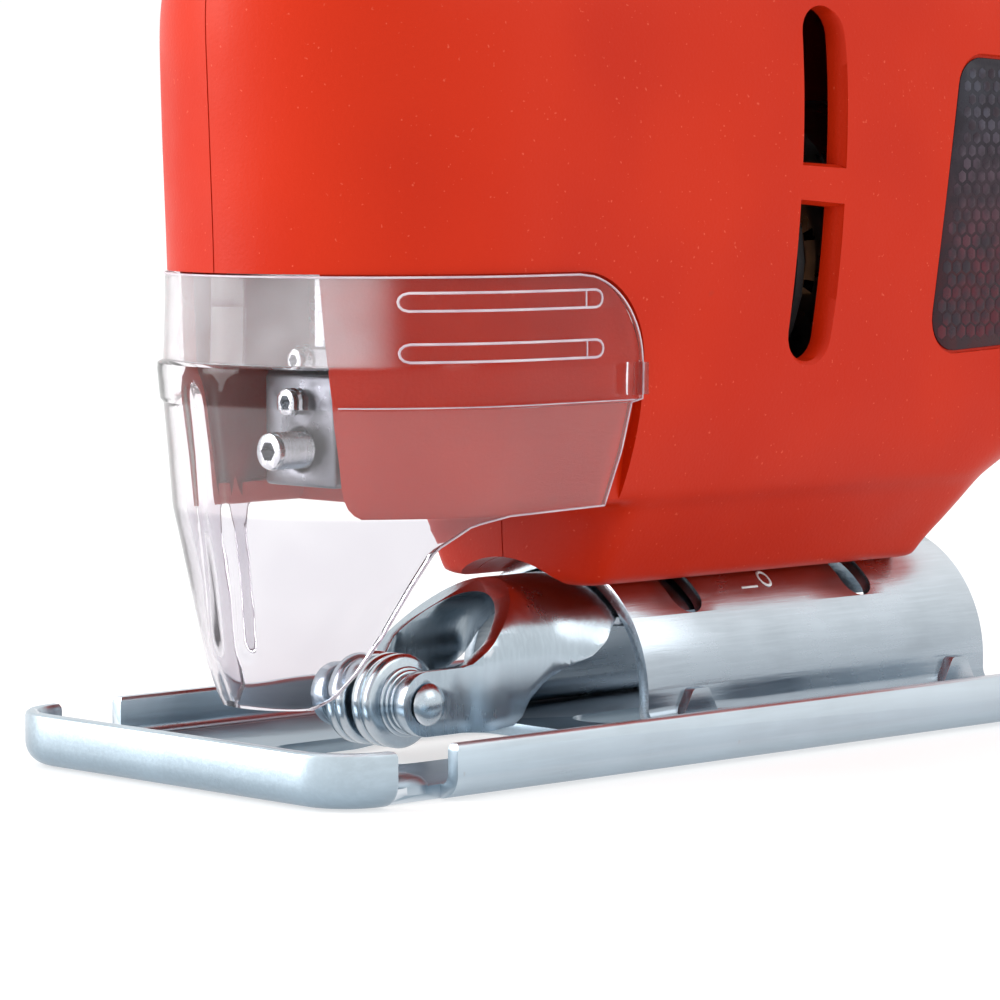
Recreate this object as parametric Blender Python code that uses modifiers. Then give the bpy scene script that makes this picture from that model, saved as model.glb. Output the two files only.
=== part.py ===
"""A corded jigsaw power tool, as an assembly of named sub-parts.

Every helper takes millimetres and makes objects in metres. In the helpers' millimetres, X runs from
the sole plate's front edge towards the back, Y is to the tool's right, Z is up from the sole's
underside. The empty "tool_origin" then moves the whole tool so that X = 0 is the middle of its length.
"""

import math

import bmesh
import bpy
from mathutils import Matrix, Vector

MM = 0.001
GAP = 0.3  # clearance between pieces that touch
SHEET = 2.0  # zinc-plated steel sheet

# --- driving dimensions, in millimetres -------------------------------------------------------------
OVERALL_LENGTH = 220.0  # sole front to cord inlet
SOLE_LENGTH, SOLE_HALF_WIDTH, SOLE_FLANGE = 160.0, 37.5, 7.8
SOLE_BEND = 4.0  # outer radius where the edges turn up
FRONT_CORNER = 10.0  # plan radius of the sole's front corners
NOTCH = (10.4, 21.5)  # the gap in the flange behind each front corner
SADDLE_AXIS_Z, SADDLE_R = 8.0, 20.0
SADDLE_X = (77.0, 154.0)
STRAP_R = 16.5  # mid-sheet radius of the roller bracket's strap, inside the saddle
BASE_SCREW_X = (90.5, 129.0)
SLOT_HALF_ANGLE = math.radians(46)

PLUNGER_X, PLUNGER_R = 33.0, 4.0
CLAMP_Z = (41.0, 57.0)
ROLLER_X, ROLLER_Z, ROLLER_R = 41.5, 9.1, 6.9

MOTOR_Z = 72.0
GEAR_MODULE, PINION_TEETH, GEAR_TEETH = 1.0, 8, 36
GEAR_Z = MOTOR_Z + GEAR_MODULE * (PINION_TEETH + GEAR_TEETH) / 2
GEAR_X = (51.0, 58.0)
CRANK_R = 8.5
BUSH_Z = (71.0, 109.6)  # the undersides of the plunger's two bushes
CASE_SIDE = (19.4, 21.8)  # the gear case's side walls, in Y

WALL = 2.5
CHEEK_BACK, NOSE_OPENING_TOP = 64.5, 71.0
CHEEK_RECESS = 1.6
# (height, front, nose length, rear, rear corner radius, half width) of the body's plan at each level
BODY_LEVELS = (
    (37.5, 12.5, 30.0, 158.0, 16.0, 24.5),
    (44.0, 11.3, 31.5, 170.0, 19.0, 27.2),
    (52.0, 10.6, 33.0, 187.0, 22.0, 29.3),
    (61.0, 10.2, 33.0, 202.0, 24.0, 30.0),
    (76.0, 9.8, 33.0, 210.0, 25.0, 30.4),
    (96.0, 9.0, 33.0, 212.0, 25.0, 30.4),
    (109.0, 8.6, 33.0, 211.0, 24.0, 29.6),
    (117.0, 10.0, 32.0, 207.0, 22.0, 27.0),
    (122.0, 14.0, 29.0, 200.0, 18.0, 22.5),
    (124.5, 20.0, 22.0, 191.0, 13.0, 16.5),
)
LOWER_LEVELS = (
    (24.6, 66.6, 3.0, 142.5, 3.0, 16.5),
    (27.0, 66.3, 3.5, 144.0, 4.0, 17.6),
    (32.0, 66.0, 4.0, 149.0, 6.0, 20.4),
    (38.5, 65.8, 5.0, 155.0, 9.0, 24.1),
    (47.0, 64.0, 6.0, 164.0, 12.0, 27.0),
)
# (x, z, half thickness in the side view, half width) along the handle's centreline
HANDLE = (
    (47, 104, 31, 27),
    (44, 122, 28, 22.5),
    (44, 141, 23, 18.5),
    (52, 160, 19.5, 17),
    (72, 174, 17, 16.5),
    (104, 180, 16.5, 16.5),
    (140, 180.5, 16.5, 17),
    (171, 176, 16.5, 17.5),
    (191, 162, 16.5, 18),
    (198, 141, 16.5, 19.5),
    (197, 121, 18, 23),
    (194, 104, 22, 27),
)
HANDLE_STEPS = 3  # stations between two of HANDLE's points
GRIP_SPAN = (4.15, 7.2)  # where the rubber grip runs, counted in HANDLE's points
GRIP_SKIN = 1.6
# (x, z, how far the screw's post reaches from the seam)
SCREWS = ((17, 113, 13), (45, 128, 19.5), (79, 52, 28), (162, 48, 21), (202, 83, 22), (198, 133, 19),
          (53, 160, 15.5), (188, 166, 16.5))

LABEL_CORNERS = ((128.5, 57.8), (180, 60), (184, 101), (136.3, 103.5))
LABEL_CENTRE, LABEL_ROUND, LABEL_FLOOR = (157.0, 80.0), 5.0, 29.4

# (height, front, nose length, half width, rear end) of the chip guard's outer surface
GUARD_LEVELS = (
    (10.0, 14.6, 7.0, 9.2, 20.0),
    (11.8, 14.0, 8.6, 10.7, 23.2),
    (15.5, 13.2, 11.0, 13.6, 25.0),
    (20.5, 12.6, 14.0, 16.6, 26.7),
    (27.5, 12.0, 18.0, 20.8, 28.4),
    (33.0, 11.3, 22.0, 24.1, 30.2),
    (36.3, 10.9, 24.5, 26.3, 35.0),
    (37.9, 10.6, 25.5, 27.0, 61.2),
    (46.0, 9.9, 30.0, 29.2, 62.6),
    (53.2, 8.9, 33.5, 31.0, 63.6),
    (57.6, 8.2, 34.5, 31.7, 64.0),
    (59.6, 9.6, 33.4, 30.5, 64.0),
    (66.0, 9.8, 33.0, 30.6, 60.5),
    (70.6, 9.8, 33.0, 30.7, 52.5),
)
GUARD_WALL = 1.5

TRIGGER_X = 94.0  # the trigger's spring
LOCK_PLACE = (116.0, 176.0)  # (x, z) of the lock button
DIAL_PLACE = (56.0, 177.0)  # (x, z) of the speed dial
INLET_Z = 143.0

# the empties that the moving pieces hang on, each on its joint's axis
PIVOTS = {
    "base_pivot": (115.0, 0.0, SADDLE_AXIS_Z),
    "roller_pivot": (ROLLER_X, 0.0, ROLLER_Z),
    "saw_pivot": (PLUNGER_X, 0.0, sum(CLAMP_Z) / 2),
    "gear_pivot": (sum(GEAR_X) / 2 - 0.5, 0.0, GEAR_Z),
    "armature_pivot": (OVERALL_LENGTH / 2, 0.0, MOTOR_Z),
    "guard_pivot": (30.0, 0.0, 55.0),
    "trigger_pivot": (TRIGGER_X, 0.0, 165.0),
    "lock_pivot": (LOCK_PLACE[0], -15.0, LOCK_PLACE[1]),
    "dial_pivot": (DIAL_PLACE[0], 0.0, DIAL_PLACE[1]),
}

COLOURS = {
    "orange_plastic": ((0.78, 0.09, 0.02), 0.5, 0.0),
    "black_rubber": ((0.02, 0.02, 0.022), 0.8, 0.0),
    "black_plastic": ((0.03, 0.03, 0.03), 0.45, 0.0),
    "clear_plastic": ((0.9, 0.88, 0.92), 0.1, 0.0),
    "zinc_steel": ((0.66, 0.7, 0.74), 0.25, 1.0),
    "dark_steel": ((0.25, 0.26, 0.28), 0.4, 1.0),
    "cast_aluminium": ((0.6, 0.6, 0.61), 0.5, 1.0),
    "copper": ((0.72, 0.35, 0.18), 0.35, 1.0),
    "bronze": ((0.6, 0.42, 0.2), 0.4, 1.0),
    "carbon": ((0.05, 0.05, 0.055), 0.7, 0.0),
    "label": ((0.09, 0.06, 0.08), 0.4, 0.0),
}


# --- helpers ------------------------------------------------------------------------------------------
def clear_scene():
    for obj in list(bpy.data.objects):
        bpy.data.objects.remove(obj)


def new_collection(name):
    made = bpy.data.collections.new(name)
    bpy.context.scene.collection.children.link(made)
    return made


def material(name):
    found = bpy.data.materials.get(name)
    if found:
        return found
    colour, roughness, metallic = COLOURS[name]
    made = bpy.data.materials.new(name)
    made.use_nodes = True
    shader = made.node_tree.nodes["Principled BSDF"]
    shader.inputs["Base Color"].default_value = (*colour, 1)
    shader.inputs["Roughness"].default_value = roughness
    shader.inputs["Metallic"].default_value = metallic
    return made


def object_from(bm, name="tmp"):
    """An object with the bmesh's faces, turned to point out and scaled from millimetres to metres."""
    bmesh.ops.recalc_face_normals(bm, faces=bm.faces)
    if bm.calc_volume(signed=True) < 0:
        bmesh.ops.reverse_faces(bm, faces=bm.faces)
    bm.transform(Matrix.Scale(MM, 4))
    for vert in bm.verts:  # so that faces meant to lie in one plane do
        vert.co = [round(value, 7) for value in vert.co]
    mesh = bpy.data.meshes.new(name)
    bm.to_mesh(mesh)
    bm.free()
    obj = bpy.data.objects.new(name, mesh)
    CUTTERS.objects.link(obj)
    obj.hide_render = True
    obj.display_type = "WIRE"
    return obj


def bake(obj):
    """The object with its modifiers, as a mesh of its own."""
    bpy.context.view_layer.update()
    graph = bpy.context.evaluated_depsgraph_get()
    mesh = bpy.data.meshes.new_from_object(obj.evaluated_get(graph))
    mesh.transform(obj.matrix_world)
    obj.modifiers.clear()
    obj.data = mesh
    obj.matrix_world = Matrix.Identity(4)
    return obj


def clean(mesh):
    """Merges slivers and splits many-sided faces, which an exact Boolean can leave slightly unflat."""
    bm = bmesh.new()
    bm.from_mesh(mesh)
    bmesh.ops.remove_doubles(bm, verts=bm.verts, dist=2e-6)
    bmesh.ops.dissolve_degenerate(bm, edges=bm.edges, dist=1e-6)
    bmesh.ops.triangulate(bm, faces=[face for face in bm.faces if len(face.verts) > 4])
    bm.to_mesh(mesh)
    bm.free()


def simplify(obj):
    """Joins the faces that lie in one plane and splits them again, which takes fewer triangles."""
    bm = bmesh.new()
    bm.from_mesh(obj.data)
    bmesh.ops.remove_doubles(bm, verts=bm.verts, dist=2e-6)
    bmesh.ops.dissolve_limit(bm, angle_limit=math.radians(0.4), verts=bm.verts, edges=bm.edges)
    bmesh.ops.triangulate(bm, faces=bm.faces)
    bmesh.ops.dissolve_degenerate(bm, edges=bm.edges, dist=1e-6)
    bm.to_mesh(obj.data)
    bm.free()
    return obj


def boolean(obj, other, operation):
    """Cuts, joins or intersects obj with other, which is used up."""
    clean(obj.data)
    clean(other.data)
    modifier = obj.modifiers.new(operation.lower(), "BOOLEAN")
    modifier.operation = operation
    modifier.solver = "EXACT"
    modifier.object = other
    bake(obj)
    bpy.data.objects.remove(other)
    return obj


def cut(obj, *others):
    for other in others:
        boolean(obj, other, "DIFFERENCE")
    return obj


def join(obj, *others):
    for other in others:
        boolean(obj, other, "UNION")
    return obj


def rounded(obj, width, segments=2, angle=40):
    modifier = obj.modifiers.new("rounded", "BEVEL")
    modifier.width = width * MM
    modifier.segments = segments
    modifier.angle_limit = math.radians(angle)
    return bake(obj)


def box(low, high):
    bm = bmesh.new()
    bmesh.ops.create_cube(bm, size=1)
    size = Vector(high) - Vector(low)
    bm.transform(Matrix.Translation((Vector(high) + Vector(low)) / 2) @ Matrix.Diagonal((*size, 1)))
    return object_from(bm)


def along(axis):
    """The matrix that turns +Z to the axis."""
    return {"X": Matrix.Rotation(math.pi / 2, 4, "Y"), "Y": Matrix.Rotation(-math.pi / 2, 4, "X"),
            "Z": Matrix.Identity(4)}[axis]


def cylinder(axis, centre, start, end, radius, sides=24):
    """A cylinder on an axis through centre (its two other coordinates), from start to end."""
    bm = bmesh.new()
    bmesh.ops.create_cone(bm, cap_ends=True, segments=sides, radius1=radius, radius2=radius, depth=end - start)
    place = {"X": ((start + end) / 2, *centre), "Y": (centre[0], (start + end) / 2, centre[1]),
             "Z": (*centre, (start + end) / 2)}[axis]
    bm.transform(Matrix.Translation(place) @ along(axis))
    return object_from(bm)


def turned(axis, centre, profile, sides=24):
    """A closed profile of (radius, distance along the axis) points, turned by a Screw modifier."""
    bm = bmesh.new()
    points = [bm.verts.new((r, 0, h)) for r, h in profile]
    ring = points[1:] if profile[0][0] == profile[-1][0] == 0 else points[1:] + points[:1]
    for a, b in zip(points, ring):
        bm.edges.new((a, b))
    obj = object_from(bm)
    screw = obj.modifiers.new("turn", "SCREW")
    screw.steps = screw.render_steps = sides
    screw.use_merge_vertices = True
    screw.merge_threshold = 1e-6
    bake(obj)
    fix = bmesh.new()
    fix.from_mesh(obj.data)
    bmesh.ops.recalc_face_normals(fix, faces=fix.faces)
    fix.to_mesh(obj.data)
    fix.free()
    place = {"X": (0, *centre), "Y": (centre[0], 0, centre[1]), "Z": (*centre, 0)}[axis]
    obj.data.transform(Matrix.Translation(Vector(place) * MM) @ along(axis))
    return obj


def loft(rings, ends=True):
    """A skin over rings of as many points each, closed by a face at each end or, without ends, as a ring."""
    bm = bmesh.new()
    rows = [[bm.verts.new(p) for p in ring] for ring in rings]
    pairs = list(zip(rows, rows[1:])) + ([] if ends else [(rows[-1], rows[0])])
    for low, high in pairs:
        for i in range(len(low)):
            j = (i + 1) % len(low)
            bm.faces.new((low[i], low[j], high[j], high[i]))
    if ends:
        bm.faces.new(rows[0])
        bm.faces.new(rows[-1])
    return object_from(bm)


def sheet(rows, thickness=SHEET):
    """An open grid of points made a sheet of that thickness, half to each side, by Solidify."""
    bm = bmesh.new()
    grid = [[bm.verts.new(p) for p in row] for row in rows]
    for low, high in zip(grid, grid[1:]):
        for i in range(len(low) - 1):
            bm.faces.new((low[i], low[i + 1], high[i + 1], high[i]))
    obj = object_from(bm)
    solid = obj.modifiers.new("sheet", "SOLIDIFY")
    solid.thickness = thickness * MM
    solid.offset = 0
    solid.use_even_offset = True
    return bake(obj)


def flat(outlines, axis, start, end):
    """A flat piece from 2D outlines, the first its edge and the rest its holes, along an axis."""
    curve = bpy.data.curves.new("outline", "CURVE")
    curve.dimensions = "2D"
    curve.fill_mode = "BOTH"
    curve.extrude = (end - start) / 2 * MM
    for points in outlines:
        spline = curve.splines.new("POLY")
        spline.points.add(len(points) - 1)
        for place, (u, v) in zip(spline.points, points):
            place.co = (u * MM, v * MM, 0, 1)
        spline.use_cyclic_u = True
    obj = bpy.data.objects.new("outline", curve)
    CUTTERS.objects.link(obj)
    bpy.context.view_layer.update()
    mesh = bpy.data.meshes.new_from_object(obj.evaluated_get(bpy.context.evaluated_depsgraph_get()))
    bpy.data.objects.remove(obj)
    bm = bmesh.new()
    bm.from_mesh(mesh)
    bmesh.ops.remove_doubles(bm, verts=bm.verts, dist=1e-6)
    middle = (start + end) / 2 * MM
    turn = {"X": Matrix(((0, 0, 1, middle), (1, 0, 0, 0), (0, 1, 0, 0), (0, 0, 0, 1))),
            "Y": Matrix(((1, 0, 0, 0), (0, 0, 1, middle), (0, 1, 0, 0), (0, 0, 0, 1))),
            "Z": Matrix.Translation((0, 0, middle))}[axis]
    bm.transform(Matrix.Scale(1 / MM, 4) @ turn)
    return object_from(bm)


def arc(centre, radius, start, end, steps):
    """Points on an arc, in degrees."""
    return [(centre[0] + radius * math.cos(math.radians(start + (end - start) * i / steps)),
             centre[1] + radius * math.sin(math.radians(start + (end - start) * i / steps)))
            for i in range(steps + 1)]


def rounded_outline(corners, radii, steps=4):
    """A closed outline through corners, each rounded with its own radius."""
    points = []
    for i, corner in enumerate(corners):
        here = Vector(corner)
        before = (Vector(corners[i - 1]) - here).normalized()
        after = (Vector(corners[(i + 1) % len(corners)]) - here).normalized()
        half = before.angle(after) / 2
        reach = radii[i] / math.tan(half)
        if radii[i] == 0:
            points.append(tuple(here))
            continue
        centre = here + (before + after).normalized() * radii[i] / math.sin(half)
        a, b = here + before * reach - centre, here + after * reach - centre
        for k in range(steps + 1):
            t = k / steps
            points.append(tuple(centre + a.normalized().slerp(b.normalized(), t) * radii[i]))
    return points


def finish(obj, name, colour, pivot=None):
    """Names the object as a part, gives it its material and hangs it on its pivot or the tool's origin."""
    CUTTERS.objects.unlink(obj)
    PARTS.objects.link(obj)
    obj.name = obj.data.name = name
    obj.hide_render = False
    obj.display_type = "TEXTURED"
    obj.data.materials.clear()
    obj.data.materials.append(material(colour))
    obj.data.shade_smooth()
    obj.data.set_sharp_from_angle(angle=math.radians(35))
    obj.parent = bpy.data.objects[pivot] if pivot else ORIGIN
    if pivot:
        obj.matrix_parent_inverse = Matrix.Translation(-obj.parent.location)
    return obj


# --- the housing ----------------------------------------------------------------------------------------
def plan(front, nose, rear, corner, half, height, nose_steps=7, corner_steps=4):
    """The body's outline at one height: an elliptical nose, straight sides and rounded rear corners."""
    near = []
    for i in range(nose_steps + 1):
        a = math.pi / 2 * i / nose_steps
        near.append((front + nose * (1 - math.cos(a)), -half * math.sin(a)))
    for i in range(corner_steps + 1):
        a = math.pi / 2 * i / corner_steps
        near.append((rear - corner * (1 - math.sin(a)), -half + corner * (1 - math.cos(a))))
    far = [(x, -y) for x, y in reversed(near[1:])]
    return [(x, y, height) for x, y in near + far]


def body_solid(levels, inset=0.0, floor=0.0):
    """A loft through the levels, every face moved in by inset, and the lowest level up by floor."""
    rings = []
    for i, (z, front, nose, rear, corner, half) in enumerate(levels):
        height = z + (floor if i == 0 else inset * -0.9 if i == len(levels) - 1 else 0)
        rings.append(plan(front + inset, nose, rear - inset, max(corner - inset, 0.6), half - inset, height))
    return loft(rings)


def along_handle(at):
    """The handle's centre, half thickness and half width at a place counted in HANDLE's points."""
    i = min(int(at), len(HANDLE) - 2)
    t = at - i
    p = [Vector(HANDLE[max(0, min(len(HANDLE) - 1, i + k))]) for k in (-1, 0, 1, 2)]
    return 0.5 * (2 * p[1] + (p[2] - p[0]) * t + (2 * p[0] - 5 * p[1] + 4 * p[2] - p[3]) * t * t
                  + (3 * p[1] - p[0] - 3 * p[2] + p[3]) * t ** 3)


def handle_ring(at, inset, sides=16):
    """The handle's section at a place: a rounded oval across the centreline."""
    x, z, thick, half = along_handle(at)
    ahead, behind = along_handle(min(at + 0.05, len(HANDLE) - 1)), along_handle(max(at - 0.05, 0))
    across = Vector((-(ahead[1] - behind[1]), ahead[0] - behind[0])).normalized()
    ring = []
    for k in range(sides):
        a = 2 * math.pi * k / sides
        squarish = 2 / 2.5
        u = math.copysign(abs(math.cos(a)) ** squarish, math.cos(a)) * (thick - inset)
        v = math.copysign(abs(math.sin(a)) ** squarish, math.sin(a)) * (half - inset)
        ring.append((x + across[0] * u, v, z + across[1] * u))
    return ring


def handle_places(low=0.0, high=len(HANDLE) - 1.0):
    count = max(2, round((high - low) * HANDLE_STEPS))
    return [low + (high - low) * i / count for i in range(count + 1)]


def handle_solid(inset, grip_inset):
    """The handle's sweep, further in by grip_inset where the rubber grip lies."""
    low, high = GRIP_SPAN
    rings = [handle_ring(p, inset) for p in handle_places(0, low)]
    rings += [handle_ring(p, inset + grip_inset) for p in handle_places(low + 0.004, high - 0.004)]
    rings += [handle_ring(p, inset) for p in handle_places(high, len(HANDLE) - 1)]
    return loft(rings)


def vent_slot(start, end):
    """A cutter for one side vent: a slot bowed towards the back, from one height to the other."""
    centre, radius, half_width = (-133.2, 99.0), 237.0, 4.1
    low = math.degrees(math.asin((start - centre[1]) / radius))
    high = math.degrees(math.asin((end - centre[1]) / radius))
    outline = arc(centre, radius + half_width, low, high, 5) + arc(centre, radius - half_width, high, low, 5)
    return flat([outline], "Y", -45, 45)


def opening_cutter():
    """The front opening round the blade clamp."""
    rings = []
    for z, half in ((20.0, 15.6), (37.5, 15.6), (54.0, 15.9), (NOSE_OPENING_TOP, 15.0)):
        rings.append([(-5, -half, z), (41, -half, z), (41, half, z), (-5, half, z)])
    return loft(rings)


def cheek_recess():
    """What is taken off the outside of the cheeks, so that the chip guard lies nearly flush."""
    levels = [row for row in BODY_LEVELS if row[0] < 80]
    skin = body_solid([(z + (0 if z > 40 else -3), f - 4, n, r, c, h + 4) for z, f, n, r, c, h in levels])
    cut(skin, body_solid([(z + (0.5 if z > 70 else -6 if z < 40 else 0), f, n, r, c, h)
                          for z, f, n, r, c, h in levels], CHEEK_RECESS))
    outline = rounded_outline(((-10, 20), (CHEEK_BACK + 1.5, 20), (CHEEK_BACK + 1.5, NOSE_OPENING_TOP),
                               (-10, NOSE_OPENING_TOP)), (0, 0, 12, 0), 5)
    return boolean(skin, flat([outline], "Y", -60, 60), "INTERSECT")


def boss(x, z, start, end, radius, sides=12):
    return cylinder("Y", (x, z), start, end, radius, sides)


def housing():
    """The two clamshell halves, with screw bosses, vents and the pockets for what they hold."""
    outer = join(body_solid(BODY_LEVELS), handle_solid(0, GRIP_SKIN + 1.5 * GAP), body_solid(LOWER_LEVELS))
    cut(outer, cheek_recess())
    inner = join(body_solid(BODY_LEVELS, WALL, WALL), handle_solid(WALL, GRIP_SKIN),
                 body_solid(LOWER_LEVELS, WALL, 8.0))
    cut(outer, inner, opening_cutter())
    cut(outer, cylinder("X", (0, SADDLE_AXIS_Z), 50, 170, SADDLE_R + GAP, 40))
    for start, end in ((57.5, 80.8), (87.0, 110.5)):
        cut(outer, vent_slot(start, end))
    for x in BASE_SCREW_X:
        cut(outer, cylinder("Z", (x, 0), 20, 36, 3.0, 12))
    for low, high in ((-50, -LABEL_FLOOR), (LABEL_FLOOR, 50)):
        cut(outer, flat([label_outline(0.5)], "Y", low, high))
    cut(outer, box((78.6, -7.2, 156), (107.5, 7.2, 172)))  # the trigger's window
    cut(outer, box((45, -4.3, 172), (67, 4.3, 200)))  # the speed dial's slot
    cut(outer, cylinder("X", (0, INLET_Z), 195, 230, 7.3, 16))
    halves = {}
    for side, name in ((-1, "housing_left"), (1, "housing_right")):
        half = outer.copy()
        half.data = outer.data.copy()
        CUTTERS.objects.link(half)
        keep = box((-20, 0.15 if side > 0 else -60, -10), (260, 60 if side > 0 else -0.15, 230))
        boolean(half, keep, "INTERSECT")
        halves[name] = half
    bpy.data.objects.remove(outer)
    add_bosses(halves)
    cut(halves["housing_left"], cylinder("Y", LOCK_PLACE, -30, -5, 5.4, 16))
    for name, half in halves.items():
        finish(simplify(half), name, "orange_plastic")


def add_bosses(halves):
    """A post for each housing screw: a blind hole in the left half, a deep counterbore in the right."""
    for x, z, reach in SCREWS:
        join(halves["housing_left"], boss(x, z, -reach, -0.15, 4.0))
        cut(halves["housing_left"], boss(x, z, -9.6, 2, 1.85, 10))
        join(halves["housing_right"], boss(x, z, 0.15, reach, 4.6))
        cut(halves["housing_right"], boss(x, z, -2, 40, 1.95, 10), boss(x, z, 8.0, 40, 3.4, 10))


def housing_screws():
    for i, (x, z, _) in enumerate(SCREWS):
        screw = turned("Y", (x, z), ((0, -9.2), (1.5, -9.2), (1.5, 8.3), (2.9, 8.3), (2.5, 10.4), (0, 10.4)), 10)
        cut(screw, box((x - 3.5, 9.7, z - 0.4), (x + 3.5, 12, z + 0.4)))
        finish(screw, f"housing_screw_{i + 1}", "dark_steel")


def handle_grip():
    """The rubber sleeve round the handle, with windows for the trigger and the lock button."""
    low, high = GRIP_SPAN
    places = handle_places(low + 0.02, high - 0.02)
    outer = loft([handle_ring(p, 0) for p in places])
    inner = loft([handle_ring(p, GRIP_SKIN) for p in handle_places(low - 0.1, high + 0.1)])
    cut(outer, inner, box((77.6, -8.2, 155), (108.5, 8.2, 172)), cylinder("Y", LOCK_PLACE, -30, -5, 6.2, 16))
    finish(outer, "handle_grip", "black_rubber")


def label_outline(grow=0.0):
    """The side label's outline, grown outwards by some millimetres."""
    (x, z), grown = LABEL_CENTRE, []
    for u, v in LABEL_CORNERS:
        grown.append((u + math.copysign(grow, u - x), v + math.copysign(grow, v - z)))
    return rounded_outline(grown, [LABEL_ROUND + grow] * 4, 4)


def labels():
    """The printed plates set in recesses on the motor housing's two sides."""
    for side, name in ((-1, "label_left"), (1, "label_right")):
        low, high = sorted((side * (LABEL_FLOOR + GAP), side * (LABEL_FLOOR + 0.7)))
        finish(flat([label_outline()], "Y", low, high), name, "label")


# --- the base ---------------------------------------------------------------------------------------------
def sole_outline(inset, rear):
    """The sole's plan, moved in by inset at the front and sides, out to the rear."""
    radius = FRONT_CORNER - inset
    left = [(FRONT_CORNER - radius * math.cos(a), FRONT_CORNER - SOLE_HALF_WIDTH - radius * math.sin(a))
            for a in [math.pi / 2 * i / 6 for i in range(7)]]
    left.append((rear, inset - SOLE_HALF_WIDTH))
    return left + [(x, -y) for x, y in reversed(left)]


def dish(radius, inset, floor, top, rear):
    """The solid inside one face of the turned-up sheet, which bends with radius."""
    bend = [math.pi / 2 * i / 4 for i in range(5)]
    levels = [(floor + radius * (1 - math.cos(a)), inset + radius * (1 - math.sin(a))) for a in bend] + top
    return loft([[(x, y, z) for x, y in sole_outline(u, rear)] for z, u in levels])


def sole_plate():
    """Pressed steel sole: turned-up sides and front, a blade opening and a slot to reach the base screws."""
    plate = dish(SOLE_BEND, 0, 0, [(SOLE_FLANGE - 0.4, 0), (SOLE_FLANGE, 0.4)], SOLE_LENGTH)
    cut(plate, dish(SOLE_BEND - SHEET, SHEET, SHEET, [(SOLE_FLANGE + 2, SHEET)], SOLE_LENGTH + 10))
    start, end = NOTCH
    gap = ((start, -1), (end, -1), (end, 6.6), (end + 1.4, 9), (start - 1.0, 9), (start, 6.8))
    for side in (-1, 1):
        cut(plate, flat([gap], "Y", *sorted((side * (SOLE_HALF_WIDTH - 3.6), side * 50))))
    blade = rounded_outline(((27.5, -16), (47, -16), (56, -14.5), (74, -14.5), (74, 14.5), (56, 14.5), (47, 11.5),
                             (27.5, 11.5)), (6, 6, 5, 5, 5, 5, 5, 6), 3)
    low, high = BASE_SCREW_X[0] - 7, BASE_SCREW_X[1] + 7
    reach = rounded_outline(((low, -6), (high, -6), (high, 6), (low, 6)), (5.9, 5.9, 5.9, 5.9), 4)
    cut(plate, flat([blade], "Z", -1, 4), flat([reach], "Z", -1, 4))
    finish(simplify(plate), "sole_plate", "zinc_steel", "base_pivot")


def saddle_section():
    """Half of the saddle's mid-sheet line, from its foot's edge to the crown: (y, z) with y below 0."""
    mid = SADDLE_R - SHEET / 2
    foot = SHEET + GAP + SHEET / 2
    bend = 3.0
    line = [(-mid - bend - 6, foot)]
    line += [(-mid - bend + bend * math.sin(a), foot + bend - bend * math.cos(a))
             for a in [math.radians(30 * i) for i in range(4)]]
    line += [(-mid * math.cos(a), SADDLE_AXIS_Z + mid * math.sin(a)) for a in
             [math.radians(9 * i) for i in range(11)]]
    return line


def saddle_bracket():
    """The half tube on the sole that tilts under the housing, with two slots for the base screws."""
    half = saddle_section()
    line = half + [(-y, z) for y, z in reversed(half[:-1])]
    bracket = sheet([[(x, y, z) for y, z in line] for x in SADDLE_X])
    mid = SADDLE_R - SHEET / 2
    for x in BASE_SCREW_X:
        rings = []
        for i in range(13):
            a = SLOT_HALF_ANGLE * (i / 6 - 1)
            rings.append([(x + 3.1 * math.cos(b), (mid + 3.4 * math.sin(b)) * math.sin(a),
                           SADDLE_AXIS_Z + (mid + 3.4 * math.sin(b)) * math.cos(a))
                          for b in [math.pi * k / 4 for k in range(8)]])
        cut(bracket, loft(rings))
        for side in (-1, 1):
            a = side * SLOT_HALF_ANGLE
            hole = cylinder("Z", (0, 0), mid - 5, mid + 5, 3.1, 12)
            hole.data.transform(Matrix.Translation(Vector((x, 0, SADDLE_AXIS_Z)) * MM) @ Matrix.Rotation(-a, 4, "X"))
            cut(bracket, hole)
    finish(bracket, "saddle_bracket", "zinc_steel", "base_pivot")


def bracket_line(x):
    """Half of the roller bracket's mid-sheet line at one station, from the foot to the crown."""
    crown, strap_radius = SADDLE_AXIS_Z + STRAP_R, STRAP_R
    if x > 76:
        wall, spring, rise = strap_radius, SADDLE_AXIS_Z, strap_radius
    else:
        wall, spring = (9.0 if x < 49 else 11.0), 13.8
        rise = crown - spring
    straight = [(-wall, spring - (spring - 3) * (1 - i / 3)) for i in range(3)]
    return straight + [(-wall * math.cos(a), spring + rise * math.sin(a))
                       for a in [math.pi / 2 * i / 6 for i in range(7)]]


def roller_bracket():
    """The fork that carries the guide roller, and its strap, which the base screws clamp up."""
    rows = []
    for x in (35, 48.5, 52.5, 66, 77, 139):
        half = bracket_line(x)
        rows.append([(x, y, z) for y, z in half] + [(x, -y, z) for y, z in reversed(half[:-1])])
    bracket = sheet(rows)
    ear = arc((ROLLER_X, ROLLER_Z), 4.75, 270, 90, 8)
    side = ear + [(50, 13.9), (65.4, 27), (138.5, 27), (138.5, 19.4), (77, 19.4), (73.5, 16.5), (63, 11), (58, 5.2),
                  (52, ROLLER_Z - 4.75)]
    boolean(bracket, flat([side], "Y", -30, 30), "INTERSECT")
    for x in BASE_SCREW_X:
        cut(bracket, cylinder("Z", (x, 0), 10, 40, 2.9, 12))
    cut(bracket, cylinder("Y", (ROLLER_X, ROLLER_Z), -20, 20, 2.35, 14))
    finish(simplify(bracket), "roller_bracket", "zinc_steel")


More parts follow.
